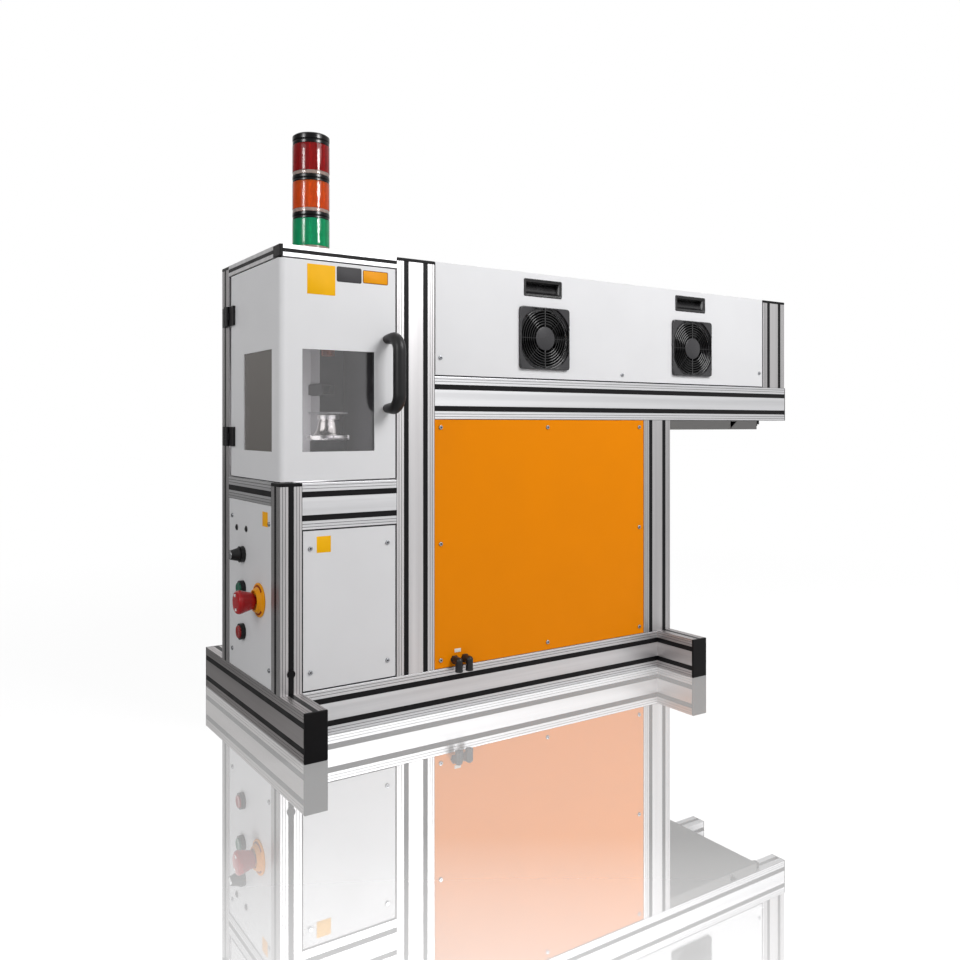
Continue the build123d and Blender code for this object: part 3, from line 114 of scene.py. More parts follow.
def anodised(name, along, tint="#D8D8DA", grooves=()):
    """Satin anodised extrusion: die lines 0.8 mm apart run along one axis, clouds are 14 mm wide. Grooves
    lists (axis, place): metal within 0.3 mm of that plane is groove floor and takes painted shade."""
    material, tree, spot = new_material(name)
    lines, bands = (add_node(tree, "TexNoise", {
        "Vector": add_node(tree, "Mapping", {"Vector": spot, "Scale": stretched(size, along, length)}),
        "Scale": 1.0, "Detail": detail}) for size, length, detail in ((0.8, 500, 3.0), (14, 900, 2.0)))
    ramp = add_node(tree, "ValToRGB", {"Fac": bands})
    for element, place, share in zip(ramp.color_ramp.elements, (0.35, 0.65), (0.86, 1.0)):
        element.position, element.color = place, linear(tint, share)
    # The groove floors take #5E5D60 as painted shade.
    surfaced(tree, shaded_hollows(tree, spot, ramp.outputs[0], grooves, "#5E5D60"), lines, 0.36, 0.5, lines, 0.25,
             0.05, Metallic=1.0)
    return material


def dress(material, *names):
    """Gives the material to every slot of the named nodes."""
    for name in names:
        for slot in nodes[name].material_slots:
            slot.material = material


# Planes of the groove floors, which are painted dark as shade.
front_groove, left_groove, top_groove, foot_groove = ("Y", -149.5), ("X", -632.5), ("Z", 79.5), ("X", 237.5)
dress(anodised("anodised_rail_along_x", 0, grooves=[front_groove, top_groove]),
      "base_rails", "main_beams", "front_mid_rail", "top_frame_rails")
dress(anodised("anodised_rail_along_y", 1, grooves=[left_groove, top_groove, foot_groove]), "cross_rails")
# The foot rails and the posts take darker tints of the same anodising as painted shade, the foot rails
# darkest.
dress(anodised("anodised_foot_rail_painted_shade", 1, "#B6B2B2", [left_groove, top_groove, foot_groove]), "foot_rails")
dress(anodised("anodised_tall_post_painted_shade", 2, "#D1CFD0", [front_groove, left_groove]), "tall_posts")
dress(anodised("anodised_short_post_painted_shade", 2, "#BFBDBE", [front_groove, left_groove]), "left_posts", "outer_posts")


# Cover strips: black PVC extruded and pressed into the slots, a little duller than the end caps.
# A fine grain and dust make them uneven.
def moulded(name, tint, grain, rough, depth, coat=0.0, shine=0.3):
    """Moulded or drawn plastic: the grain has a size and a depth, and clouds 45 mm wide vary it."""
    material, tree, spot = new_material(name)
    haze = add_node(tree, "TexNoise", {"Vector": spot, "Scale": 1 / (45 * MM), "Detail": 2.0})
    speck = add_node(tree, "TexNoise", {"Vector": spot, "Scale": 1 / (grain * MM), "Detail": 4.0})
    tone = add_node(tree, "Mix", {"Factor": haze, 6: linear(tint), 7: linear(tint, 0.82)}, data_type="RGBA")
    surfaced(tree, tone.outputs["Result"], haze, rough - 0.06, rough + 0.06, speck, 0.4, depth,
             Specular_IOR_Level=shine, Coat_Weight=coat)
    return material


dress(moulded("drawn_black_pvc", "#121113", 1.5, 0.42, 0.05, shine=0.14), "slot_strips")

# End caps, slot plug and cable gland: black polyamide, moulded, pushed into the cores of the rails.
# A fine spark-eroded grain gives them a soft shine.
dress(moulded("moulded_black_polyamide", "#0B0A0C", 1.2, 0.4, 0.08, shine=0.14), "profile_caps")


# White panels and door: steel sheet, folded, then powder coated in a fine, slightly uneven film.
# The baked powder gives an orange-peel skin with a soft shine.
def powder_coat(name, tint, rough=0.42, peel=2.2, shine=0.5):
    """Baked powder on sheet: peel is the size of the film's waves, drawn coarser than the real 1 mm."""
    material, tree, spot = new_material(name)
    film, waves = (add_node(tree, "TexNoise", {"Vector": spot, "Scale": 1 / (size * MM), "Detail": 2.0})
                   for size in (110, peel))
    tone = add_node(tree, "Mix", {"Factor": film, 6: linear(tint), 7: linear(tint, 0.93)}, data_type="RGBA")
    surfaced(tree, tone.outputs["Result"], film, rough - 0.04, rough + 0.04, waves, 0.3, 0.06,
             Specular_IOR_Level=shine)
    return material


dress(powder_coat("powder_coat_white", "#E4E4E6"), "lower_front_panel", "hood_front_panel", "hood_covers",
      "control_panel", "door_shell", "closing_panels", "tower_top_plate")

# Orange panel: the same folded sheet in an orange powder coat.
# It shines less than the white one.
dress(powder_coat("powder_coat_orange", "#F08B00", shine=0.1), "orange_panel")

# Tray under the overhang and the cases in the bay: folded sheet in grey coats.
# The tray's darker grey is painted shade under the overhang.
dress(powder_coat("powder_coat_grey", "#9C9DA0", 0.5), "power_supply", "control_computer")
dress(powder_coat("powder_coat_grey_painted_shade", "#605F5E", 0.5), "underside_tray")

# Chamber liner: sheet in a pale grey coat, folded to a floor, a rear wall and a right wall.
# Its film is a little duller than the outer panels'.
liner_coat = powder_coat("powder_coat_pale_grey", "#ACABAC", 0.45)
dress(liner_coat, "chamber_liner")


# Floor plates, lugs and screws: mild steel, cold rolled, zinc plated to a bluish grey with a rolled grain.
# The screws' sockets are 1.3 mm deep in heads 2.2 mm high, and painted dark as shade.
def plated(name, tint, rough, sockets=()):
    """Rolled and plated steel: grain 1.2 mm across, drawn 60 mm long across the machine. Sockets are the
    planes, as (axis, place), in which painted shade darkens it."""
    material, tree, spot = new_material(name)
    rolled = add_node(tree, "Mapping", {"Vector": spot, "Scale": stretched(1.2, 0, 60)})
    grain = add_node(tree, "TexNoise", {"Vector": rolled, "Scale": 1.0, "Detail": 3.0})
    tone = add_node(tree, "Mix", {"Factor": grain, 6: linear(tint), 7: linear(tint, 0.85)}, data_type="RGBA")
    # The socket floors take #161517 as painted shade.
    surfaced(tree, shaded_hollows(tree, spot, tone.outputs["Result"], sockets, "#161517"), grain, rough - 0.05,
             rough + 0.07, grain, 0.2, 0.04, Metallic=1.0)
    return material


dress(plated("zinc_plated_steel", "#8E9094", 0.3), "mounting_plates", "panel_lugs")
# The screws' socket floors are painted dark as shade.
dress(plated("zinc_plated_screws", "#A6A8AC", 0.26, [("Y", -149.4), ("Y", 149.4), ("X", -632.4)]),
      "panel_screws")

# Door hinges: black coated die castings, one leaf on the door and one with the pin on the rear post.
# Their film is finer and duller than the panels'.
dress(powder_coat("powder_coat_black", "#121113", 0.45, 1.6, 0.3), "door_hinge_leaves", "post_hinge_leaves")


# Windows: acrylic sheet, smoke tinted, 3 mm thick, held against the inside of the door by its overlap.
# It mirrors the room faintly, and a film of dust on the side pane hides most of what lies behind.
def box(name):
    """Low and high corner of a node's box."""
    return tuple(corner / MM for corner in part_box(name))


def skinned(tree, through, share, scatter, rough, ior):
    """Ends a material in clear plastic: a see-through colour, a share of a shader that scatters, and over
    both a glossy skin by Fresnel."""
    clear = add_node(tree, "BsdfTransparent", {"Color": linear(through)})
    body = add_node(tree, "MixShader", {0: share, 1: clear, 2: scatter})
    skin = add_node(tree, "BsdfGlossy", {"Roughness": rough})
    edge = add_node(tree, "Fresnel", {"IOR": ior})
    add_node(tree, "OutputMaterial", {"Surface": add_node(tree, "MixShader", {0: edge, 1: body, 2: skin})})


def clear_sheet(name, tint, haze, side_haze, side_plane):
    """Tinted clear sheet: a see-through tint with a glossy skin over it, wiped streaks 35 mm wide. The pane
    within 5 mm of the side plane, a place along X, has a stronger film of dust."""
    material, tree, spot = new_material(name)
    wiped = add_node(tree, "Mapping", {"Vector": spot, "Scale": stretched(35, 2, 160)})
    streaks = add_node(tree, "TexNoise", {"Vector": wiped, "Scale": 1.0, "Detail": 2.0})
    rough = add_node(tree, "MapRange", {"Value": streaks, "From Min": 0.3, "From Max": 0.7, "To Min": 0.02,
                                        "To Max": 0.07})
    across = add_node(tree, "SeparateXYZ", {"Vector": spot}).outputs["X"]
    on_side = add_node(tree, "Math", {0: across, 1: side_plane * MM, 2: 5 * MM}, operation="COMPARE")
    share = add_node(tree, "MapRange", {"Value": on_side, "To Min": haze, "To Max": side_haze})
    skinned(tree, tint, share, add_node(tree, "BsdfDiffuse", {"Color": linear("#8A8682")}), rough, 1.75)
    return material


dress(clear_sheet("smoked_acrylic", "#F2F1F3", 0.03, 0.72, box("door_windows")[0].x), "door_windows")


# Door handle: glass-filled polyamide tube handle, moulded in one, with thicker feet screwed from inside.
# The bar is a fat round tube, matt black, with soft bends.
def to_mesh(name, shape, body, material, node=None):
    """Makes a piece of a shape, which is points and faces: welds its seams, turns its faces outward, rides
    it on its body and lets it stand for a node."""
    corners, faces = shape
    mesh = bpy.data.meshes.new(name)
    mesh.from_pydata((np.asarray(corners, float) * MM).tolist(), [], faces)
    work = bmesh.new()
    work.from_mesh(mesh)
    bmesh.ops.remove_doubles(work, verts=work.verts, dist=0.01 * MM)
    bmesh.ops.dissolve_degenerate(work, edges=work.edges, dist=0.001 * MM)
    bmesh.ops.recalc_face_normals(work, faces=work.faces)
    work.to_mesh(mesh)
    work.free()
    mesh.shade_smooth()
    mesh.set_sharp_from_angle(angle=radians(40))
    mesh.materials.append(material)
    piece = bpy.data.objects.new(name, mesh)
    bpy.context.scene.collection.objects.link(piece)
    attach(piece, body)
    if node:
        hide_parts(node)
    return piece


def quads(rows, columns, wrap_rows=False):
    """Four-cornered faces between neighbours of a grid of points numbered row by row. Each row is a closed
    ring, and the last row joins the first where the rows wrap."""
    r, c = np.meshgrid(np.arange(rows if wrap_rows else rows - 1), np.arange(columns), indexing="ij")
    r2, c2 = (r + 1) % rows, (c + 1) % columns
    ring = np.stack([r * columns + c, r * columns + c2, r2 * columns + c2, r2 * columns + c], -1)
    return ring.reshape(-1, 4).tolist()


def capped(grid):
    """Points and faces of a tube: rows of closed rings, the first and the last ring closed by one face."""
    rows, columns = grid.shape[:2]
    ends = [list(range(columns))[::-1], list(range((rows - 1) * columns, rows * columns))]
    return grid.reshape(-1, 3), quads(rows, columns) + ends


def ways_across(path):
    """Side and up of each point of a path in a plane across X: the side is its tangent x the X axis, and up
    is the side x the tangent."""
    tangent = np.gradient(path, axis=0)
    tangent /= np.linalg.norm(tangent, axis=1, keepdims=True)
    side = np.cross(tangent, (1.0, 0.0, 0.0))
    side /= np.linalg.norm(side, axis=1, keepdims=True)
    return side, np.cross(side, tangent)


handle_low, handle_high = box("door_handle")
handle_radius = (handle_high.x - handle_low.x) / 2
door_face = handle_high.y
bar_y = handle_low.y + handle_radius
leg_low, leg_high = handle_low.z + handle_radius, handle_high.z - handle_radius
bend = 24
turn = np.linspace(0, pi / 2, 14)
lower_leg = np.stack([np.linspace(door_face, bar_y + bend, 8), np.full(8, leg_low)], -1)
lower_bend = np.stack([bar_y + bend - bend * np.sin(turn), leg_low + bend - bend * np.cos(turn)], -1)
upper_bend = np.stack([bar_y + bend - bend * np.cos(turn), leg_high - bend + bend * np.sin(turn)], -1)
bow = np.concatenate([lower_leg[:-1], lower_bend, upper_bend, (lower_leg * (1, 0) + (0, leg_high))[::-1][1:]])
bow = np.insert(bow, 0, (handle_low.x + handle_high.x) / 2, axis=1)
bow_side, bow_up = ways_across(bow)
around = np.linspace(0, 2 * pi, 40, endpoint=False)
# Radius along the bow: full in the bar, it falls by a third with the square of the way back to the door.
way_back = np.clip((bow[:, 1] - bar_y) / (door_face - bar_y), 0, 1)
girth = handle_radius * (1 - 0.33 * way_back ** 2)
tube = bow[:, None] + girth[:, None, None] * (np.cos(around)[None, :, None] * bow_side[:, None]
                                              + np.sin(around)[None, :, None] * bow_up[:, None])
handle_polyamide = moulded("moulded_matt_black_polyamide", "#171618", 1.4, 0.42, 0.12)
to_mesh("door_bow_handle", capped(tube), "door", handle_polyamide, "door_handle")


# Signal tower: a polycarbonate stack on the roof plate, with black polyamide collars.
# Each lens is a clear coloured sleeve with upright ribs inside, round a pale lamp tube.
def rings_of(profile, centre, axis="Z", steps=64, flutes=0, flute_depth=0.0):
    """Rings of a turned shape: at profile (radius, along) a ring of points centre + radius * (cos a, sin a).
    Flutes wave the radius by flute_depth * cos(flutes * a)."""
    profile = np.asarray(profile, float)
    a = np.linspace(0, 2 * pi, steps, endpoint=False)
    radius = profile[:, 0, None] + flute_depth * np.cos(flutes * a)
    across, up = radius * np.cos(a), radius * np.sin(a)
    along = np.broadcast_to(profile[:, 1, None], across.shape)
    order = {"Z": (across, up, along), "X": (along, across, up), "Y": (across, along, up)}[axis]
    return np.stack(order, -1) + np.asarray(centre, float)


def hoop(grid):
    """Points and faces of a closed hoop: rows of closed rings, the last ring joined to the first."""
    return grid.reshape(-1, 3), quads(*grid.shape[:2], wrap_rows=True)


def softened(profile, reach, steps=4):
    """Rounds the inner corners of a profile: each is replaced by a quadratic curve that starts and ends
    at most reach from it, and never past the middle of a side."""
    p = np.asarray(profile, float)
    back, ahead = p[:-2] - p[1:-1], p[2:] - p[1:-1]
    back_length = np.linalg.norm(back, axis=1, keepdims=True)
    ahead_length = np.linalg.norm(ahead, axis=1, keepdims=True)
    start = p[1:-1] + back / back_length * np.minimum(reach, back_length * 0.45)
    end = p[1:-1] + ahead / ahead_length * np.minimum(reach, ahead_length * 0.45)
    t = np.linspace(0, 1, steps)[None, :, None]
    curve = (1 - t) ** 2 * start[:, None] + 2 * t * (1 - t) * p[1:-1][:, None] + t ** 2 * end[:, None]
    return np.concatenate([p[:1], curve.reshape(-1, 2), p[-1:]])


def turned(name, profile, centre, body, material, slot_name, node=None, axis="Z", soft=0.0, steps=64,
           closing=capped, **waves):
    """A turned piece: its profile, softened, carried round an axis through the centre. The profile's along
    counts from the centre."""
    if soft:
        profile = softened(profile, soft)
    grid = rings_of(profile, centre, axis, steps, **waves)
    return to_mesh(name, closing(grid), body, material, node)


def lens_plastic(name, tint, through):
    """Dyed clear polycarbonate: tinted see-through body with a scattering share, moulded skin over it."""
    material, tree, spot = new_material(name)
    cloud = add_node(tree, "TexNoise", {"Vector": spot, "Scale": 1 / (9 * MM), "Detail": 3.0})
    share = add_node(tree, "MapRange", {"Value": cloud, "From Min": 0.3, "From Max": 0.7, "To Min": 0.5,
                                        "To Max": 0.62})
    translucent, diffuse = (add_node(tree, kind, {"Color": linear(tint)})
                            for kind in ("BsdfTranslucent", "BsdfDiffuse"))
    milk = add_node(tree, "MixShader", {0: 0.5, 1: translucent, 2: diffuse})
    skinned(tree, through, share, milk, 0.05, 1.28)
    return material


tower_polyamide = moulded("moulded_tower_polyamide", "#060506", 1.0, 0.2, 0.04, shine=0.14)
lamp_tube_plastic = moulded("frosted_lamp_tube", "#C9C6C0", 2.0, 0.35, 0.05)
clear_foot = lens_plastic("clear_polycarbonate", "#C8B8B0", "#D8C8C0")
base_low, base_high = box("signal_base")
signal = (base_low + base_high) / 2
roof_z = box("tower_top_plate")[1].z
sleeve_radius = 35
base_profile = [(12, base_low.z), (12, roof_z), (33.4, roof_z), (33.4, roof_z + 4), (31.5, roof_z + 5),
                (31.5, base_high.z - 7), (33.5, base_high.z - 6), (33.5, base_high.z), (20, base_high.z)]
# Pieces that the tower's own lamps light.
tower_lit = [turned("signal_tower_foot", base_profile, (signal.x, signal.y, 0), "machine", tower_polyamide,
                    "black_moulding", "signal_base", soft=0.8)]
collar_high = box("signal_collars")[1].z
foot_height = 6.7
for tone, tint, through in (("green", "#00AE7C", "#1CD496"), ("amber", "#DE600B", "#F0801A"),
                            ("red", "#A4060C", "#D81014")):
    sleeve_low, sleeve_high = box(tone + "_lens")
    centre, height = (signal.x, signal.y, sleeve_low.z), sleeve_high.z - sleeve_low.z
    # Clear foot ring under the dyed sleeve, then the sleeve's outer wall and its ribbed inner wall.
    foot = [(32, 0), (34.6, 0), (34.6, 6.5), (32, 6.5)]
    tower_lit.append(turned(f"{tone}_signal_foot_ring", foot, centre, "machine", clear_foot, tone + "_lens",
                            soft=0.5, steps=96, closing=hoop))
    outer = [(33, foot_height), (sleeve_radius, foot_height), (sleeve_radius, height), (32.5, height)]
    walls = np.concatenate([rings_of(softened(outer, 0.6), centre, steps=144),
                            rings_of([(31.6, height), (31.6, foot_height)], centre, steps=144, flutes=36,
                                     flute_depth=0.7)])
    tower_lit.append(to_mesh(f"{tone}_signal_sleeve", hoop(walls), "machine",
                             lens_plastic("dyed_polycarbonate_" + tone, tint, through),
                             tone + "_lens"))
    tube_profile = [(0.5, 0), (13, 0), (13, 4), (8, 6), (8, height - 9), (4, height - 4), (0.5, height - 4)]
    turned(f"{tone}_lamp_tube", tube_profile, centre, "machine", lamp_tube_plastic, tone + "_lens", soft=0.8,
           steps=32)
    # Collar: a neck inside the sleeve and a rim with a groove. The red lens's one is the tower's top cap.
    collar_z, wide = sleeve_high.z + 0.2, sleeve_radius
    collar = [(6, -7), (30.4, -7), (30.4, 0), (34.6, 0)]
    if tone == "red":
        top = collar_high - collar_z
        collar += [(34.6, 6), (33.8, 6.6), (33.8, 7.4), (34.6, 8), (wide, 9), (wide, top - 3), (31, top),
                   (2, top)]
    else:
        collar += [(34.6, 4), (33.6, 4.6), (33.6, 5.6), (wide, 6.2), (wide, 12.5), (6, 12.5)]
    tower_lit.append(turned(f"{tone}_tower_collar", collar, (signal.x, signal.y, collar_z), "machine",
                            tower_polyamide, "black_moulding", "signal_collars", soft=0.7, steps=96))


# Fans: axial fans behind the front sheet, each with a moulded finger guard of rings and eight spokes.
# The guard is a square frame with rounded corners, clipped on from outside.
def carried(edge, profile, centre, face="-Y"):
    """Rings of a moulded edge, which is an outline and its outward directions: for profile (inset, height)
    the outline moved in by inset and out by height. The face names the direction of the height."""
    outline, outward = edge
    profile = np.asarray(profile, float)
    flat = outline[None] - outward[None] * profile[:, 0, None, None]
    height = np.broadcast_to(profile[:, 1, None], flat.shape[:2])
    a, b = flat[..., 0], flat[..., 1]
    order = {"-Y": (a, -height, b), "-X": (-height, -a, b)}[face]
    return np.stack(order, -1) + np.asarray(centre, float)


def torus(radius, wire_wide, wire_deep, centre):
    """Ring of a flattened wire lying across Y: (R + w cos b) cos a, d sin b, (R + w cos b) sin a."""
    a = np.linspace(0, 2 * pi, 80, endpoint=False)[:, None]
    b = np.linspace(0, 2 * pi, 8, endpoint=False)[None]
    reach = radius + wire_wide * np.cos(b)
    return hoop(np.stack([reach * np.cos(a), wire_deep * np.sin(b) + 0 * a, reach * np.sin(a)], -1) + centre)


def join(shapes):
    """Several shapes as one."""
    points, faces, start = [], [], 0
    for corners, sides in shapes:
        points.append(corners)
        faces += [[i + start for i in side] for side in sides]
        start += len(corners)
    return np.concatenate(points), faces


def bar_between(start, end, half_wide, half_deep, deep_way=(0, 1, 0)):
    """A flat bar from start to end, its section a rounded rectangle of eight points, half_deep along deep_way
    and half_wide along the cross product of its run with deep_way."""
    along = (end - start) / np.linalg.norm(end - start)
    side = np.cross(along, deep_way)
    angle = np.linspace(0, 2 * pi, 8, endpoint=False) + pi / 8
    ring = side * (half_wide * 1.08 * np.cos(angle))[:, None] + np.array(deep_way) * (
        half_deep * 1.08 * np.sin(angle))[:, None]
    return capped(np.stack([start + ring, end + ring]))


guard_plastic = moulded("moulded_guard_polyamide", "#2E2D30", 1.2, 0.26, 0.04, shine=0.5)
wire_plastic = moulded("moulded_guard_wires", "#121113", 1.2, 0.16, 0.01, shine=0.5)
blade_plastic = moulded("moulded_blade_pbt", "#060607", 1.5, 0.4, 0.04, shine=0.1)
dress(moulded("moulded_fan_frame_pbt", "#060607", 1.5, 0.6, 0.05, shine=0.05), "fan_housings")
machine_left = box("door_shell")[0].x
hood_face = box("hood_front_panel")[0].y
fan_z = 704
guard_half, guard_corner, rim_inner = 62, 6, 59.5
# Square with round corners drawn by angle: a point on the square is clamped to the square of the corner
# centres, and lies one corner radius out from there.
angle = np.linspace(0, 2 * pi, 120, endpoint=False)
compass = np.stack([np.cos(angle), np.sin(angle)], -1)
on_square = compass * guard_half / np.abs(compass).max(1, keepdims=True)
corner_centre = np.clip(on_square, guard_corner - guard_half, guard_half - guard_corner)
outward = (on_square - corner_centre) / np.linalg.norm(on_square - corner_centre, axis=1, keepdims=True)
guard_edge = (corner_centre + guard_corner * outward, outward)
# The mouth is a circle of radius 66 mm cut off by the square of the inner rim, down to the fan's bore.
mouth = np.minimum(66, rim_inner / np.abs(compass).max(1))
bore = np.full_like(mouth, 57.3)
for side, fan_x in (("left", machine_left + 556), ("right", machine_left + 978)):
    middle = np.array([fan_x, hood_face, fan_z])
    frame_rows = carried(guard_edge, [(0, 0), (0, 4.6), (0.4, 5.6), (1.1, 6), (1.9, 6)], middle)
    reach = np.stack([mouth, mouth, bore, bore])
    depth = np.broadcast_to(np.array([-5.4, -1.2, -0.9, 0.0])[:, None], reach.shape)
    inner_rows = np.stack([reach * compass[:, 0], depth, reach * compass[:, 1]], -1) + middle
    disc = [(0.3, -1.2), (23, -1.2), (24, -3.5), (23.4, -4.8), (0.3, -5.4)]
    to_mesh(side + "_finger_guard", join([hoop(np.concatenate([frame_rows, inner_rows])),
                                          capped(rings_of(softened(disc, 0.7), middle, "Y", 48))]),
            "machine", guard_plastic, "fan_guards")
    wires = [torus(ring, 1.0, 1.3, middle + (0, -4.4, 0)) for ring in np.linspace(29.5, 61, 7)]
    wire_middle = middle + (0, -3.4, 0)
    for k in range(8):
        way = np.array([cos(k * pi / 4), 0, sin(k * pi / 4)])
        end, half_wide = ((65.5, 0.9) if k % 2 else (59.6, 1.2))
        wires.append(bar_between(wire_middle + way * 22, wire_middle + way * end, half_wide, 1.5))
    to_mesh(side + "_finger_guard_wires", join(wires), "machine", wire_plastic)

    # Rotor: seven blades on a hub. Each blade is a twisted sheet: at span s its chord turns from 55 to 28
    # degrees off the fan's plane, and its wall closes to a point at both edges.
    hub_front, hub_back = (corner.y for corner in box(side + "_fan_rotor"))
    rotor_middle, hub_deep = (fan_x, hub_front, fan_z), hub_back - hub_front
    hub = [(0.4, 1), (17, 0), (21.5, 3), (22, 27), (4, 27), (4, hub_deep), (0.4, hub_deep)]
    parts = [capped(rings_of(softened(hub, 1.2), rotor_middle, "Y", 56))]
    root, tip = 21, 55
    span = np.linspace(root, tip, 9)[:, None]
    chord = np.linspace(-1, 1, 9)
    loop = np.concatenate([chord, chord[-2:0:-1]])[None]
    wall = np.concatenate([np.sqrt(1 - chord ** 2), -np.sqrt(1 - chord[-2:0:-1] ** 2)])[None] * 0.9
    share = (span - root) / (tip - root)
    pitch = np.radians(55 - 27 * share)
    reach = (13 + 6 * share) * loop
    sweep = 0.35 * share ** 1.5 + (reach * np.cos(pitch)) / span
    depth = reach * np.sin(pitch) * 0.72 + wall * np.cos(pitch)
    for k in range(7):
        a = sweep + k * 2 * pi / 7 + wall * np.sin(pitch) / span
        parts.append(capped(np.stack([span * np.cos(a), 14 + depth, span * np.sin(a)], -1) + rotor_middle))
    to_mesh(side + "_fan_blades", join(parts), side + "_fan", blade_plastic,
            side + "_fan_rotor")


# Recessed grips: moulded polyamide shells, pushed through the sheet from outside.
# Their pocket slopes inward, so that the fingers hook behind its upper edge.
def rounded_outline(half_x, half_z, corner, steps=6):
    """Points round a rectangle with round corners and the outward direction at each: four quarter
    circles of radius corner, centred corner inside each corner of the rectangle."""
    a = np.linspace(0, pi / 2, steps)
    quarter = np.concatenate([a + k * pi / 2 for k in range(4)])
    outward = np.stack([np.cos(quarter), np.sin(quarter)], -1)
    signs = np.array([(1, 1), (-1, 1), (-1, -1), (1, -1)]).repeat(steps, 0)
    return signs * (half_x - corner, half_z - corner) + corner * outward, outward


def nested(half_x, half_z, corner, profile, centre, face="-Y"):
    """Rings of a shell with round corners: for profile (inset, height) the outline of the rectangle that lies
    inset further in, its corners smaller by the inset down to 0.6 mm."""
    return np.stack([carried(rounded_outline(half_x - inset, half_z - inset, max(corner - inset, 0.6)),
                             [(0, height)], centre, face)[0] for inset, height in profile])


grip_plastic = moulded("moulded_grip_polyamide", "#171618", 1.3, 0.26, 0.08, shine=0.5)
grip_low, grip_high = box("hood_grips")
grip_z = (grip_low.z + grip_high.z) / 2
grip_half, pocket_half = 48, 18
grip_profile = [(7, -14), (5.2, 0), (0, 0), (0, 0.5), (1, 1.5), (4, 1.5), (5.6, 0.2), (7, -1.5), (8.5, -8),
                (12, -8), (16.6, -8)]
for side, grip_x in (("left", grip_low.x + grip_half), ("right", grip_high.x - grip_half)):
    rows = nested(grip_half, 17.5, 3, grip_profile, (grip_x, hood_face, grip_z))
    # The pocket's floor slopes from 3.5 mm deep at its foot to 13 mm deep at its top.
    rise = np.clip((rows[-3:, :, 2] - grip_z) / pocket_half + 0.5, 0, 1)
    rows[-3:, :, 1] = hood_face + 3.5 + 9.5 * rise
    to_mesh(side + "_recessed_grip", capped(rows), "machine", grip_plastic, "hood_grips")

# Shadow lines: black cords laid along the joints of the panels and round the door's edges, as painted shadow.
# They darken the gaps between sheet and rail to a thin dark line.
shadow_line_black = moulded("black_shadow_line_cord", "#0C0B0C", 1.2, 0.6, 0.05, shine=0.08)


def shadow_lines(name, runs, body):
    """Black cords of painted shadow with a flattened round section: each run is its start, its end, its half
    sizes and, unless that is Y, the way of the second half size."""
    bars = [bar_between(np.array(start), np.array(end), *section) for start, end, *section in runs]
    to_mesh(name, join(bars), body, shadow_line_black)


hood_low, hood_high = box("hood_front_panel")
lower_low, lower_high = box("lower_front_panel")
shadow_line_y = hood_low.y - 0.2
hood_shadow_line_z = hood_low.z + 0.6
hood_uprights = [((x, shadow_line_y, hood_low.z), (x, shadow_line_y, hood_high.z - 1), 0.6, 0.4)
                 for x in (hood_low.x + 0.6, hood_high.x - 0.6)]
lower_lines = [((lower_low.x, shadow_line_y, z), (lower_high.x, shadow_line_y, z), 0.8, 0.4)
               for z in (lower_low.z + 0.4, lower_high.z - 0.4)]
lower_uprights = [((x, shadow_line_y, lower_low.z), (x, shadow_line_y, lower_high.z), wide, 0.4)
                  for x, wide in ((lower_low.x + 0.4, 0.7), (lower_high.x - 0.4, 0.6))]
hood_line = ((hood_low.x + 0.6, shadow_line_y, hood_shadow_line_z), (hood_high.x - 0.6, shadow_line_y, hood_shadow_line_z), 0.9, 0.4)
shadow_lines("panel_shadow_lines", [hood_line, *hood_uprights, *lower_lines, *lower_uprights], "machine")
shell_low, shell_high = box("door_shell")
door_line_y, door_line_x = shell_low.y + 2, shell_low.x + 1.4
above, below, beside = shell_high.z + 0.7, shell_low.z - 0.8, shell_high.x + 0.7
shadow_lines("door_shadow_lines", [
    ((shell_low.x + 2, door_line_y, above), (shell_high.x, door_line_y, above), 0.7, 1.2),
    ((beside, door_line_y, shell_low.z), (beside, door_line_y, shell_high.z), 0.6, 1.2),
    ((door_line_x, shell_low.y + 4, below), (door_line_x, shell_high.y, below), 1.2, 0.8, (0, 0, 1)),
    ((door_line_x, shell_low.y + 4, above), (door_line_x, shell_high.y, above), 1.2, 0.7, (0, 0, 1))], "door")


# Label plates: self-adhesive polyester, punched with round corners. They are left blank.
# Each lies on its sheet with a rounded edge, and its film shows the faint weave of the adhesive.
def label(name, low, high, face, out, body, tint, slot_name, corner, thick=0.25):
    """Blank plate with round corners on a sheet: low and high are the corners across the face."""
    edge = rounded_outline((high[0] - low[0]) / 2, (high[1] - low[1]) / 2, corner)
    across, up = (low[0] + high[0]) / 2, (low[1] + high[1]) / 2
    centre = (across, face, up) if out == "-Y" else (face, across, up)
    rows = carried(edge, [(0, 0.02), (0, thick * 0.7), (0.15, thick)], centre, out)
    film = moulded(name + "_film", tint, 1.8, 0.5, 0.02, shine=0.12)
    to_mesh(name, capped(rows), body, film)


control_face = box("control_panel")[0].x
front_y = box("left_posts")[0].y
orange_face = box("orange_panel")[0].y
door_face_y = shell_low.y
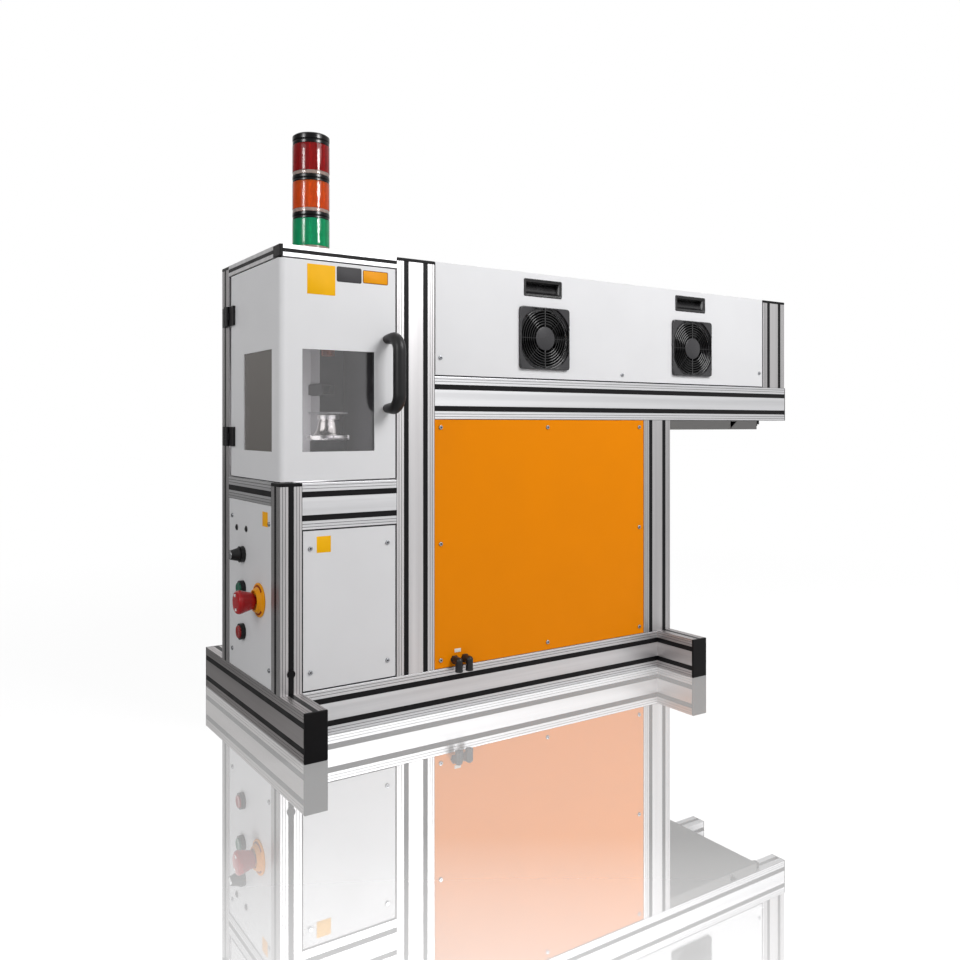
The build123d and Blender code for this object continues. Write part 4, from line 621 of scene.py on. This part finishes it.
# Places across the front count from the machine's left edge, those of the controls' label from its front.
for name, (x1, z1), (x2, z2), face, body, *look in (
        ("door_label_square", (48.6, 753.5), (100.3, 804.6), door_face_y, "door", "#FFBE10", "yellow_plastic",
         0.8),
        ("door_label_dark", (103, 778.5), (150.4, 805), door_face_y, "door", "#4A494B", "black_moulding", 3),
        ("door_label_rim", (153, 780), (202.5, 803), door_face_y, "door", "#8A5A10", "orange_coat", 2.5),
        ("door_label_orange", (154.2, 781.2), (201.3, 801.8), door_face_y, "door", "#F8A414", "orange_coat",
         1.6, 0.32),
        ("panel_label_square", (66.6, 313.8), (92.8, 341.7), lower_low.y, "machine", "#FFBE10",
         "yellow_plastic", 0.8),
        ("air_label", (344, 105.5), (358, 112.5), orange_face, "machine", "#E9E4DC", "white_coat", 0.8)):
    label(name, (machine_left + x1, z1), (machine_left + x2, z2), face, "-Y", body, *look)
label("control_label", (front_y + 58.6, 356), (front_y + 84.2, 381.5), control_face, "-X", "machine",
      "#FFB410", "yellow_plastic", 0.8)

# Control devices: moulded polyamide bezels 29.5 mm across on 22 mm threaded barrels through the panel.
# They stand in one column: key switch, green button, red button.
bezel_plastic = moulded("moulded_control_polyamide", "#121113", 0.9, 0.34, 0.03)
dress(bezel_plastic, "control_bezels")
key_low, key_high = box("key_rotor")
key = (key_low + key_high) / 2
green_z, red_z = 233, 154.6
bezels = []
for z, hole in ((key.z, 10.4), (green_z, 11.8), (red_z, 11.8)):
    ring = [(hole, 0), (14.7, 0), (14.7, -5.5), (13.6, -8), (12.4, -8), (hole, -7)]
    bezels.append(hoop(rings_of(softened(ring, 0.6), (control_face, key.y, z), "X", 72)))
to_mesh("control_bezel_rings", join(bezels), "machine", bezel_plastic)

# Key switch: a black moulded sleeve that tapers, with 24 ribs to turn it by.
# In its end lies the die-cast zinc face of the lock cylinder, with its key slot.
key_centre = (control_face, key.y, key.z)
key_face = 25
sleeve_foot = key_high.x - control_face
sleeve_profile = [(4.2, sleeve_foot), (4.2, -8.3), (12.2, -8.3), (12.2, -9.6), (10.8, -15), (9.2, -21),
                  (8.4, -24.6), (7.6, -key_face), (7.4, -23.5)]
turned("key_switch_sleeve", sleeve_profile, key_centre, "key_switch", bezel_plastic, "steel_plunger",
       "key_rotor", "X", 0.5, 96, flutes=24, flute_depth=0.12)
lock_profile = [(7, -22), (7, -24.4), (6.4, -key_face), (1.2, -key_face), (1, -23)]
turned("key_lock_face", lock_profile, key_centre, "key_switch", plated("nickel_plated_zinc", "#D5D6D8", 0.22),
       "steel_plunger", None, "X", 0.3, 48)
slot_rows = carried(rounded_outline(0.9, 4.6, 0.7, 5), [(0, -0.4), (0, 0.05), (0.2, 0.1)],
                    (control_face - key_face, key.y, key.z), "-X")
to_mesh("key_slot", capped(slot_rows), "key_switch", bezel_plastic)


# Push buttons: dyed translucent polycarbonate caps, slightly dished, with a raised rim.
# They slide in their bezels on a spring.
def button(name, node, body, tint, slot_name, z):
    """Dished cap: the face falls 0.9 mm from its rim to its middle along a parabola."""
    low, high = box(node)
    r = np.linspace(10.2, 0.3, 8)
    dish = np.stack([r, low.x + 0.9 * (1 - (r / 10.2) ** 2)], -1)
    back = [(4.2, high.x), (4.2, control_face - 3.3), (11.5, control_face - 3.3), (11.5, low.x + 1),
            (10.9, low.x)]
    turned(name, np.concatenate([back, dish]), (0, key.y, z), body,
           moulded("moulded_" + name, tint, 6, 0.25, 0.01, 0.1), slot_name, node, "X")


button("green_push_cap", "green_button", "green_push", "#0A5C46", "green_plastic", green_z)
button("red_push_cap", "red_button", "red_push", "#981418", "red_plastic", red_z)

# Emergency stop: yellow moulded back plate, dished, with a collar and two printed arcs on its cone.
# On it stands a red glossy mushroom head on its stem.
stop_low, stop_high = box("estop_head")
stop = (stop_low + stop_high) / 2
plate_profile = [(7, 0), (30, 0), (30, -2.4), (28.6, -3), (27, -2.6), (22.6, -4.2), (20.8, -7.6),
                 (19.4, -10.6), (17.4, -11), (16.3, -10), (16.1, -6), (7, -6)]
yellow_abs = moulded("moulded_yellow_abs", "#FAA60C", 5, 0.35, 0.03, shine=0.2)
turned("stop_back_plate", plate_profile, (control_face, stop.y, stop.z), "machine", yellow_abs,
       "yellow_plastic", "estop_plate", "X", 0.8, 96, hoop)


def arc_bar(section, middle, half_sweep, steps):
    """A bar bent round the stop's axis: each (x, radius) of its section runs from middle - half_sweep to
    middle + half_sweep, angles that count from straight up."""
    sweep = middle + np.linspace(-half_sweep, half_sweep, steps)
    edges = [np.stack([np.full(steps, x), stop.y + r * np.sin(sweep), stop.z + r * np.cos(sweep)], -1)
             for x, r in section]
    return capped(np.stack(edges, 1))


mark_section = [(control_face - 4.15, 23.2), (control_face - 4.3, 23.2), (control_face - 3.25, 26.2),
                (control_face - 3.1, 26.2)]
to_mesh("stop_turn_marks", join([arc_bar(mark_section, middle, 0.85, 28) for middle in (0, pi)]), "machine",
        moulded("printed_red_brown_ink", "#9A3E14", 1.0, 0.5, 0.01, shine=0.1))
red_abs = moulded("moulded_red_abs", "#B40C16", 5, 0.2, 0.02, shine=0.35)
dress(red_abs, "estop_stem")
crown_radius = 16.5
r = np.linspace(crown_radius, 0.3, 8)
crown = np.stack([r, stop_low.x + 0.7 * (r / crown_radius) ** 2], -1)
# The skirt behind the head dips into the plate's collar when the stop is pushed.
skirt = np.array([(6.6, 0), (12.4, 0), (12.6, 3.6), (13.4, 4), (14.2, 3), (15.3, -1), (17, -7)])
brim = np.array([(18.9, 14.5), (20.3, 9.5), (20.5, 5.5), (19.4, 2.2)])
head_profile = np.concatenate([skirt + (0, stop_high.x), brim + (0, stop_low.x), crown])
turned("stop_mushroom_head", head_profile, (0, stop.y, stop.z), "estop_knob", red_abs, "red_plastic",
       "estop_head", "X", 1.5, 96)
# Two white strokes on the head's face show which way to twist it.
stroke_section = [(stop_low.x + 0.03, 10), (stop_low.x + 0.25, 14.6), (stop_low.x + 0.85, 14.6),
                  (stop_low.x + 0.63, 10)]
strokes = [arc_bar(stroke_section, radians(middle), 0.32, 10) for middle in (190, 13)]
to_mesh("stop_twist_strokes", join(strokes), "estop_knob",
        moulded("white_stroke_paint", "#F6F4F2", 1.0, 0.3, 0.01))

# Indicator lamps: dark polycarbonate bullets in black bezels, clipped through the panel.
# Unlit, they read as two small black domes.
lamp_low, lamp_high = box("indicator_lamps")
dome = [(3.9, 13), (3.9, 0), (5.9, 0), (5.8, -1.2), (4.2, -1.8), (3.6, -2.4), (1.8, -3), (0.2, -3)]
lamps = [capped(rings_of(softened(dome, 0.5), (control_face, y, z), "X", 32))
         for y, z in ((lamp_high.y - 6, lamp_low.z + 5.5), (lamp_low.y + 6, lamp_high.z - 6))]
to_mesh("indicator_lamp_domes", join(lamps), "machine", bezel_plastic, "indicator_lamps")

# Dark sheet: blue-grey anodised, 1 mm thick with round corners, laid on the liner's right wall.
# It makes that wall dark.
liner_low, liner_high = box("chamber_liner")
rows = carried(rounded_outline(100, 176, 4), [(0, 1.05), (0, 1.9), (0.2, 2)],
               (liner_high.x - 1, 0, (liner_low.z + liner_high.z) / 2), "-X")
right_wall_sheet = to_mesh("right_wall_dark_sheet", capped(rows), "machine", anodised("dark_anodised_sheet", 2, "#4C4B50"))

# Chuck: blackened cast base with a waist, and a ground steel rod that lifts the head out of it.
# The casting keeps the grain of its mould under the blacking.
chuck_low, chuck_high = box("chuck_head")
chuck = (chuck_low + chuck_high) / 2
rod_hole = 15.05
foot_low, foot_high = box("chuck_base")
top = foot_high.z - foot_low.z
chuck_foot = [(rod_hole, 18), (rod_hole, top), (31.5, top), (33.5, top - 2), (33.5, 34), (30.5, 31),
              (30.5, 12), (41.5, 8), (41.5, 0), (rod_hole, 0)]
turned("chuck_pedestal", chuck_foot, (chuck.x, chuck.y, foot_low.z), "machine",
       moulded("blackened_casting", "#2B2B2E", 2.5, 0.5, 0.15), "dark_cast", "chuck_base", soft=1, steps=96,
       closing=hoop)
dress(plated("ground_steel_rod", "#B9BBBE", 0.3), "chuck_spindle")


# Chuck head: a bell of steel, turned and polished, on a flange with six notches for the indexing pin.
# The flange's rim and the collar are milled, so they are less mirror-like than the bell, and their paler tint
# is a painted highlight.
def polished(name, tint, rough):
    """Turned and polished steel: rings 1.5 mm apart from the turning run round the axis."""
    material, tree, spot = new_material(name)
    rings = add_node(tree, "Mapping", {"Vector": spot, "Scale": stretched(90, 2, 1.5)})
    turning = add_node(tree, "TexNoise", {"Vector": rings, "Scale": 1.0, "Detail": 2.0})
    surfaced(tree, linear(tint), turning, rough * 0.6, rough * 1.4, turning, 0.15, 0.04, Metallic=1.0)
    return material


flange_steps = 240
flange_angle = np.linspace(0, 2 * pi, flange_steps, endpoint=False)
top = chuck_high.z - chuck_low.z
flange = [(8.05, 0), (36, 0), (38.6, 0.6), (39, 1.2), (39, 7.8), (38.6, 8.5), (37.6, 9), (27, 9)]
rise = np.linspace(0, 1, 14)
flare = np.stack([19 + 7.5 * (1 - rise) ** 2.2, 10 + 22 * rise], -1)
collar = [(17, 35), (17, top - 9), (19.6, top - 8.6), (19.6, top - 0.8), (18.8, top), (1, top), (1, top - 24),
          (8.05, top - 26)]
rows = rings_of(np.concatenate([flange, flare, collar]), (chuck.x, chuck.y, chuck_low.z), "Z", flange_steps)
# A notch is 3 mm deep where the cosine of six times the angle nears 1, and only beyond 34 mm from the axis.
notch = np.clip((np.cos(6 * (flange_angle - radians(15))) - 0.82) / 0.06, 0, 1) * 3
from_axis = rows[..., :2] - (chuck.x, chuck.y)
reach = np.linalg.norm(from_axis, axis=2, keepdims=True)
rows[..., :2] -= from_axis / reach * notch[None, :, None] * (reach > 34)
chuck_bell = to_mesh("chuck_bell", hoop(rows), "chuck_turn",
                     polished("polished_turned_steel", "#E4E0DC", 0.2), "chuck_head")
# The milled faces' paler tint, #F2F0EE against the bell's #E4E0DC, is a painted highlight.
chuck_bell.data.materials.append(polished("milled_steel_painted_highlight", "#F2F0EE", 0.34))
centres = np.empty(len(chuck_bell.data.polygons) * 3)
chuck_bell.data.polygons.foreach_get("center", centres)
centres = centres.reshape(-1, 3) / MM
from_axis = np.hypot(centres[:, 0] - chuck.x, centres[:, 1] - chuck.y)
milled = (from_axis > 35) | ((centres[:, 2] > chuck_high.z - 9) & (from_axis > 17.5))
chuck_bell.data.polygons.foreach_set("material_index", milled.astype(np.int32))


# Lens blank: a meniscus of optical resin, cast and polished, seated on the collar of the chuck's head.
# A thin film leaves a little haze on it.
def optical(name, tint, rough):
    """Polished optical resin: clear, faintly tinted, with haze in clouds 12 mm wide."""
    material, tree, spot = new_material(name)
    cloud = add_node(tree, "TexNoise", {"Vector": spot, "Scale": 1 / (12 * MM), "Detail": 2.0})
    haze = add_node(tree, "MapRange", {"Value": cloud, "From Min": 0.3, "From Max": 0.7, "To Min": rough,
                                       "To Max": rough + 0.08})
    skinned(tree, "#D2D8DE", 0.45, add_node(tree, "BsdfDiffuse", {"Color": linear(tint)}), haze, 1.6)
    return material


blank_low, blank_high = box("lens_blank")
blank_radius, edge_z = (blank_high.x - blank_low.x) / 2, blank_high.z
out = np.linspace(0.01, 1, 16)
under = np.stack([out * blank_radius, blank_low.z + 0.1 + (edge_z - 3.4 - blank_low.z) * out ** 2], -1)
over = np.stack([out * blank_radius, edge_z - 1.1 * (1 - out ** 2)], -1)[::-1]
lens = turned("resin_lens_blank", np.concatenate([under, over]), (chuck.x, chuck.y, 0), "chuck_turn",
              optical("polished_resin", "#CBCACA", 0.04), "blank_glass", "lens_blank", steps=96)

# Scan head, laser and their lens: machined aluminium, black and orange anodised.
# The mirrors are coated glass.
dress(anodised("black_anodised_aluminium", 0, "#3A3A3E"), "scan_head", "laser_unit")
dress(anodised("orange_anodised_aluminium", 2, "#E0641C"), "scan_lens")
dress(polished("coated_mirror", "#E6E7EA", 0.03), "galvo_mirror_x", "galvo_mirror_y")

# Extraction duct: black antistatic ABS, welded from sheet, with a slot nozzle beside the chuck.
# Two cover sheets in the liner's pale coat lie on its left side, above and below the nozzle.
dress(moulded("welded_black_abs", "#202022", 2.0, 0.4, 0.05), "extraction_duct")
duct_side, duct_y = -466, 87
duct_covers = []
for name, sheet_low, sheet_high in (("lower", 442, 589), ("upper", 613, 692)):
    rows = nested(20.5, (sheet_high - sheet_low) / 2, 1.5, [(0, 0.05), (0, 0.8), (0.2, 1)],
                  (duct_side, duct_y, (sheet_low + sheet_high) / 2), "-X")
    duct_covers.append(to_mesh(f"duct_cover_{name}", capped(rows), "machine", liner_coat))

# Air ports: moulded elbows with a hexagon nut and a release ring for the tube.
# Mains inlet: moulded socket with a rocker switch.
fitting_plastic = moulded("moulded_fitting_pbt", "#202022", 1.2, 0.32, 0.04)
dress(fitting_plastic, "air_fittings", "mains_inlet")
fitting_low, fitting_high = box("air_fittings")
port_z, elbow_radius = 93, 7
nut = [(7, -0.1), (8.4, -0.1), (8.4, -5), (7, -5.6)]
release = [(4.1, 0.1), (6, 0.1), (7.4, 1.2), (7.4, 3), (7.02, 4), (4.1, 4)]
rings = []
for x in (fitting_low.x + elbow_radius, fitting_high.x - elbow_radius):
    rings += [hoop(rings_of(nut, (x, orange_face, port_z), "Y", 6)),
              hoop(rings_of(release, (x, fitting_low.y + elbow_radius, fitting_low.z), "Z", 40))]
to_mesh("air_port_rings", join(rings), "machine", fitting_plastic)


# Studio floor: pale and glossy. It mirrors the machine, fades towards the camera and keeps its shadow.
# Distance from the machine fades the lamp light out of it, and its polish falls towards the front left.
def studio_sheet(name, corners, material):
    """A flat sheet of the studio."""
    mesh = bpy.data.meshes.new(name)
    mesh.from_pydata((np.array(corners, float) * MM).tolist(), [], [(0, 1, 2, 3)])
    mesh.materials.append(material)
    sheet = bpy.data.objects.new(name, mesh)
    bpy.context.scene.collection.objects.link(sheet)
    return sheet


def grey(level):
    """A neutral colour."""
    return (level, level, level, 1)


floor_white, tree, spot = new_material("glossy_white_floor")
path = add_node(tree, "LightPath")
by_camera, by_mirror = path.outputs["Is Camera Ray"], path.outputs["Is Glossy Ray"]
from_middle = add_node(tree, "VectorMath", {0: spot}, operation="LENGTH").outputs["Value"]
far = add_node(tree, "MapRange", {"Value": from_middle, "From Min": 900 * MM, "From Max": 2200 * MM})
camera_way = (0.553, 0.833, 0)
toward = add_node(tree, "VectorMath", {0: spot, 1: camera_way}, operation="DOT_PRODUCT").outputs["Value"]
polish = add_node(tree, "MapRange", {"Value": toward, "From Min": -1120 * MM, "From Max": -800 * MM,
                                     "To Min": 0.4, "To Max": 0.7})
pale, matt = (add_node(tree, "BsdfDiffuse", {"Color": grey(level)}) for level in (0.5, 0.6))
lamp_white, white = (add_node(tree, "Emission", {"Color": grey(1), "Strength": strength})
                     for strength in (0.74, 1.0))
lit = add_node(tree, "AddShader", {0: pale, 1: lamp_white})
white_part = add_node(tree, "MixShader", {0: far, 1: lit, 2: white})
across = add_node(tree, "SeparateXYZ", {"Vector": spot}).outputs["X"]
right_part = add_node(tree, "MapRange", {"Value": across, "From Min": -700 * MM, "From Max": -500 * MM,
                                         "To Min": 0, "To Max": 0.45})
mirrored = add_node(tree, "Math", {0: by_mirror, 1: right_part}, operation="MULTIPLY")
seen = add_node(tree, "Math", {0: by_camera, 1: mirrored}, operation="MAXIMUM")
sheet = add_node(tree, "MixShader", {0: seen, 1: matt, 2: white_part})
mirror = add_node(tree, "BsdfGlossy", {"Color": grey(1), "Roughness": 0.01})
mirror_share = add_node(tree, "Math", {0: polish, 1: by_camera}, operation="MULTIPLY")
glossy_sheet = add_node(tree, "MixShader", {0: mirror_share, 1: sheet, 2: mirror})
add_node(tree, "OutputMaterial", {"Surface": glossy_sheet})
reach = 14000
studio_sheet("studio_floor", [(-reach, -reach, 0), (reach, -reach, 0), (reach, reach, 0), (-reach, reach, 0)],
             floor_white)

# Grey flag on the left: a sheet on a frame, seen only in reflections. It glows as painted light, brighter
# towards its top, in place of lamp light on a cloth. It darkens the left faces of the rails.
flag_cloth, tree, spot = new_material("grey_flag_cloth")
height = add_node(tree, "SeparateXYZ", {"Vector": spot}).outputs["Z"]
glow_by_height = add_node(tree, "MapRange", {"Value": height, "From Min": 200 * MM, "From Max": 2200 * MM,
                                       "To Min": 0.12, "To Max": 0.6})
# The flag's glow, brighter towards its top, is painted light: no lamp lights it.
cloth = add_node(tree, "Emission", {"Color": (1, 0.97, 0.95, 1), "Strength": glow_by_height})
add_node(tree, "OutputMaterial", {"Surface": cloth})
flag_x, flag_front, flag_back, flag_top = -2400, 300, 6000, 2400
flag_corners = [(flag_x, y, z) for y, z in ((flag_front, 0), (flag_back, 0), (flag_back, flag_top),
                                            (flag_front, flag_top))]
flag = studio_sheet("studio_flag", flag_corners, flag_cloth)
flag.visible_camera = flag.visible_diffuse = flag.visible_shadow = False

# Studio air: soft light from all round, which the camera, mirrors and clear plastic see as white.
# Only surfaces lit by it take the weaker light.
world = bpy.data.worlds.new("studio_air")
bpy.context.scene.world = world
world.use_nodes = True
tree = world.node_tree
tree.nodes.clear()
path = add_node(tree, "LightPath").outputs
seen = path["Is Transmission Ray"]
for ray in ("Is Camera Ray", "Is Glossy Ray"):
    seen = add_node(tree, "Math", {0: seen, 1: path[ray]}, operation="MAXIMUM")
soft_air, white_air = (add_node(tree, "Background", {"Color": grey(1), "Strength": strength})
                       for strength in (0.22, 1.0))
add_node(tree, "OutputWorld", {"Surface": add_node(tree, "MixShader", {0: seen, 1: soft_air, 2: white_air})})


# Studio lamps: a key at the front right, a second lamp on the left, and small ones that each light only
# the pieces they are for.
def softbox(name, place, aim, wide, power, tall=None):
    """A soft lamp, wide and tall, at a place, facing an aim point."""
    lamp = bpy.data.lights.new(name, "AREA")
    lamp.shape = "RECTANGLE"
    lamp.size, lamp.size_y = wide * MM, (tall or wide) * MM
    lamp.energy = power
    lamp_object = bpy.data.objects.new(name, lamp)
    bpy.context.scene.collection.objects.link(lamp_object)
    lamp_object.location = Vector(place) * MM
    lamp_object.rotation_euler = (Vector(place) - Vector(aim)).to_track_quat("Z", "Y").to_euler()
    return lamp_object


def only_for(name, pieces, lamps):
    """Lets the lamps light these pieces alone."""
    lit = bpy.data.collections.new(name)
    for piece in pieces:
        lit.objects.link(piece)
    for lamp in lamps:
        lamp.light_linking.receiver_collection = lit


softbox("key_softbox", (600, -1900, 2000), (100, 0, 600), 1200, 46)
softbox("side_softbox", (-3800, -1200, 1800), (-400, 0, 500), 1800, 46)
# The chamber's own lamp lights what stands inside the door, apart from the chuck's head and the lens.
chamber_lamp = softbox("chamber_lamp", (chuck.x - 70, -130, 500), (chuck.x, 60, 450), 60, 1.05, 120)
chamber_lamp.visible_glossy = False
only_for("inside_the_chamber", [right_wall_sheet, *duct_covers, *(nodes[name] for name in (
    "chamber_liner", "extraction_duct", "scan_lens", "chuck_spindle", "scan_head"))], [chamber_lamp])
# Two weak lamps, in the door's two windows, stand for the windows' light on those two.
chuck_lamps = [
    softbox("chuck_side_lamp", (chuck.x - 98, chuck.y - 10, 515), (chuck.x, chuck.y, 515), 90, 0.06, 150),
    softbox("chuck_front_lamp", (chuck.x + 25, -138, 560), (chuck.x, chuck.y, 530), 140, 0.06, 130)]
only_for("chuck_metal", [chuck_bell, lens], chuck_lamps)
for lamp in (chamber_lamp, *chuck_lamps):
    lamp.visible_camera = False
# Two tall lamps draw the bright upright bands on the signal tower, and two more light its colours.
tower_lamps = []
tower_reach = 2200
for name, way, band_power in (("left", (-0.931, -0.365), 60), ("right", (0.405, -0.914), 120)):
    place = (signal.x + tower_reach * way[0], signal.y + tower_reach * way[1])
    band = softbox(f"tower_{name}_band", (*place, 1450), (signal.x, signal.y, 960), 500, band_power, 950)
    band.visible_diffuse = False
    fill = softbox(f"tower_{name}_fill", (*place, 1100), (signal.x, signal.y, 950), 600, 19, 700)
    fill.visible_glossy = False
    tower_lamps += [band, fill]
only_for("signal_tower", tower_lit, tower_lamps)

# Camera: on the front left, level, half a metre up. Its shifts frame the machine as the photograph does.
# Its place and turn were fitted to the photograph's rails.
camera_data = bpy.data.cameras.new("camera")
camera_data.sensor_width = 36
camera_data.lens = 33.534
camera_data.shift_x = 0.00644
camera_data.shift_y = -0.05744
camera = bpy.data.objects.new("camera", camera_data)
bpy.context.scene.collection.objects.link(camera)
camera.location = (-1.18466, -1.56307, 0.53172)
camera.rotation_euler = (pi / 2, 0, -0.586)
bpy.context.scene.camera = camera
bpy.context.scene.view_settings.view_transform = "Standard"
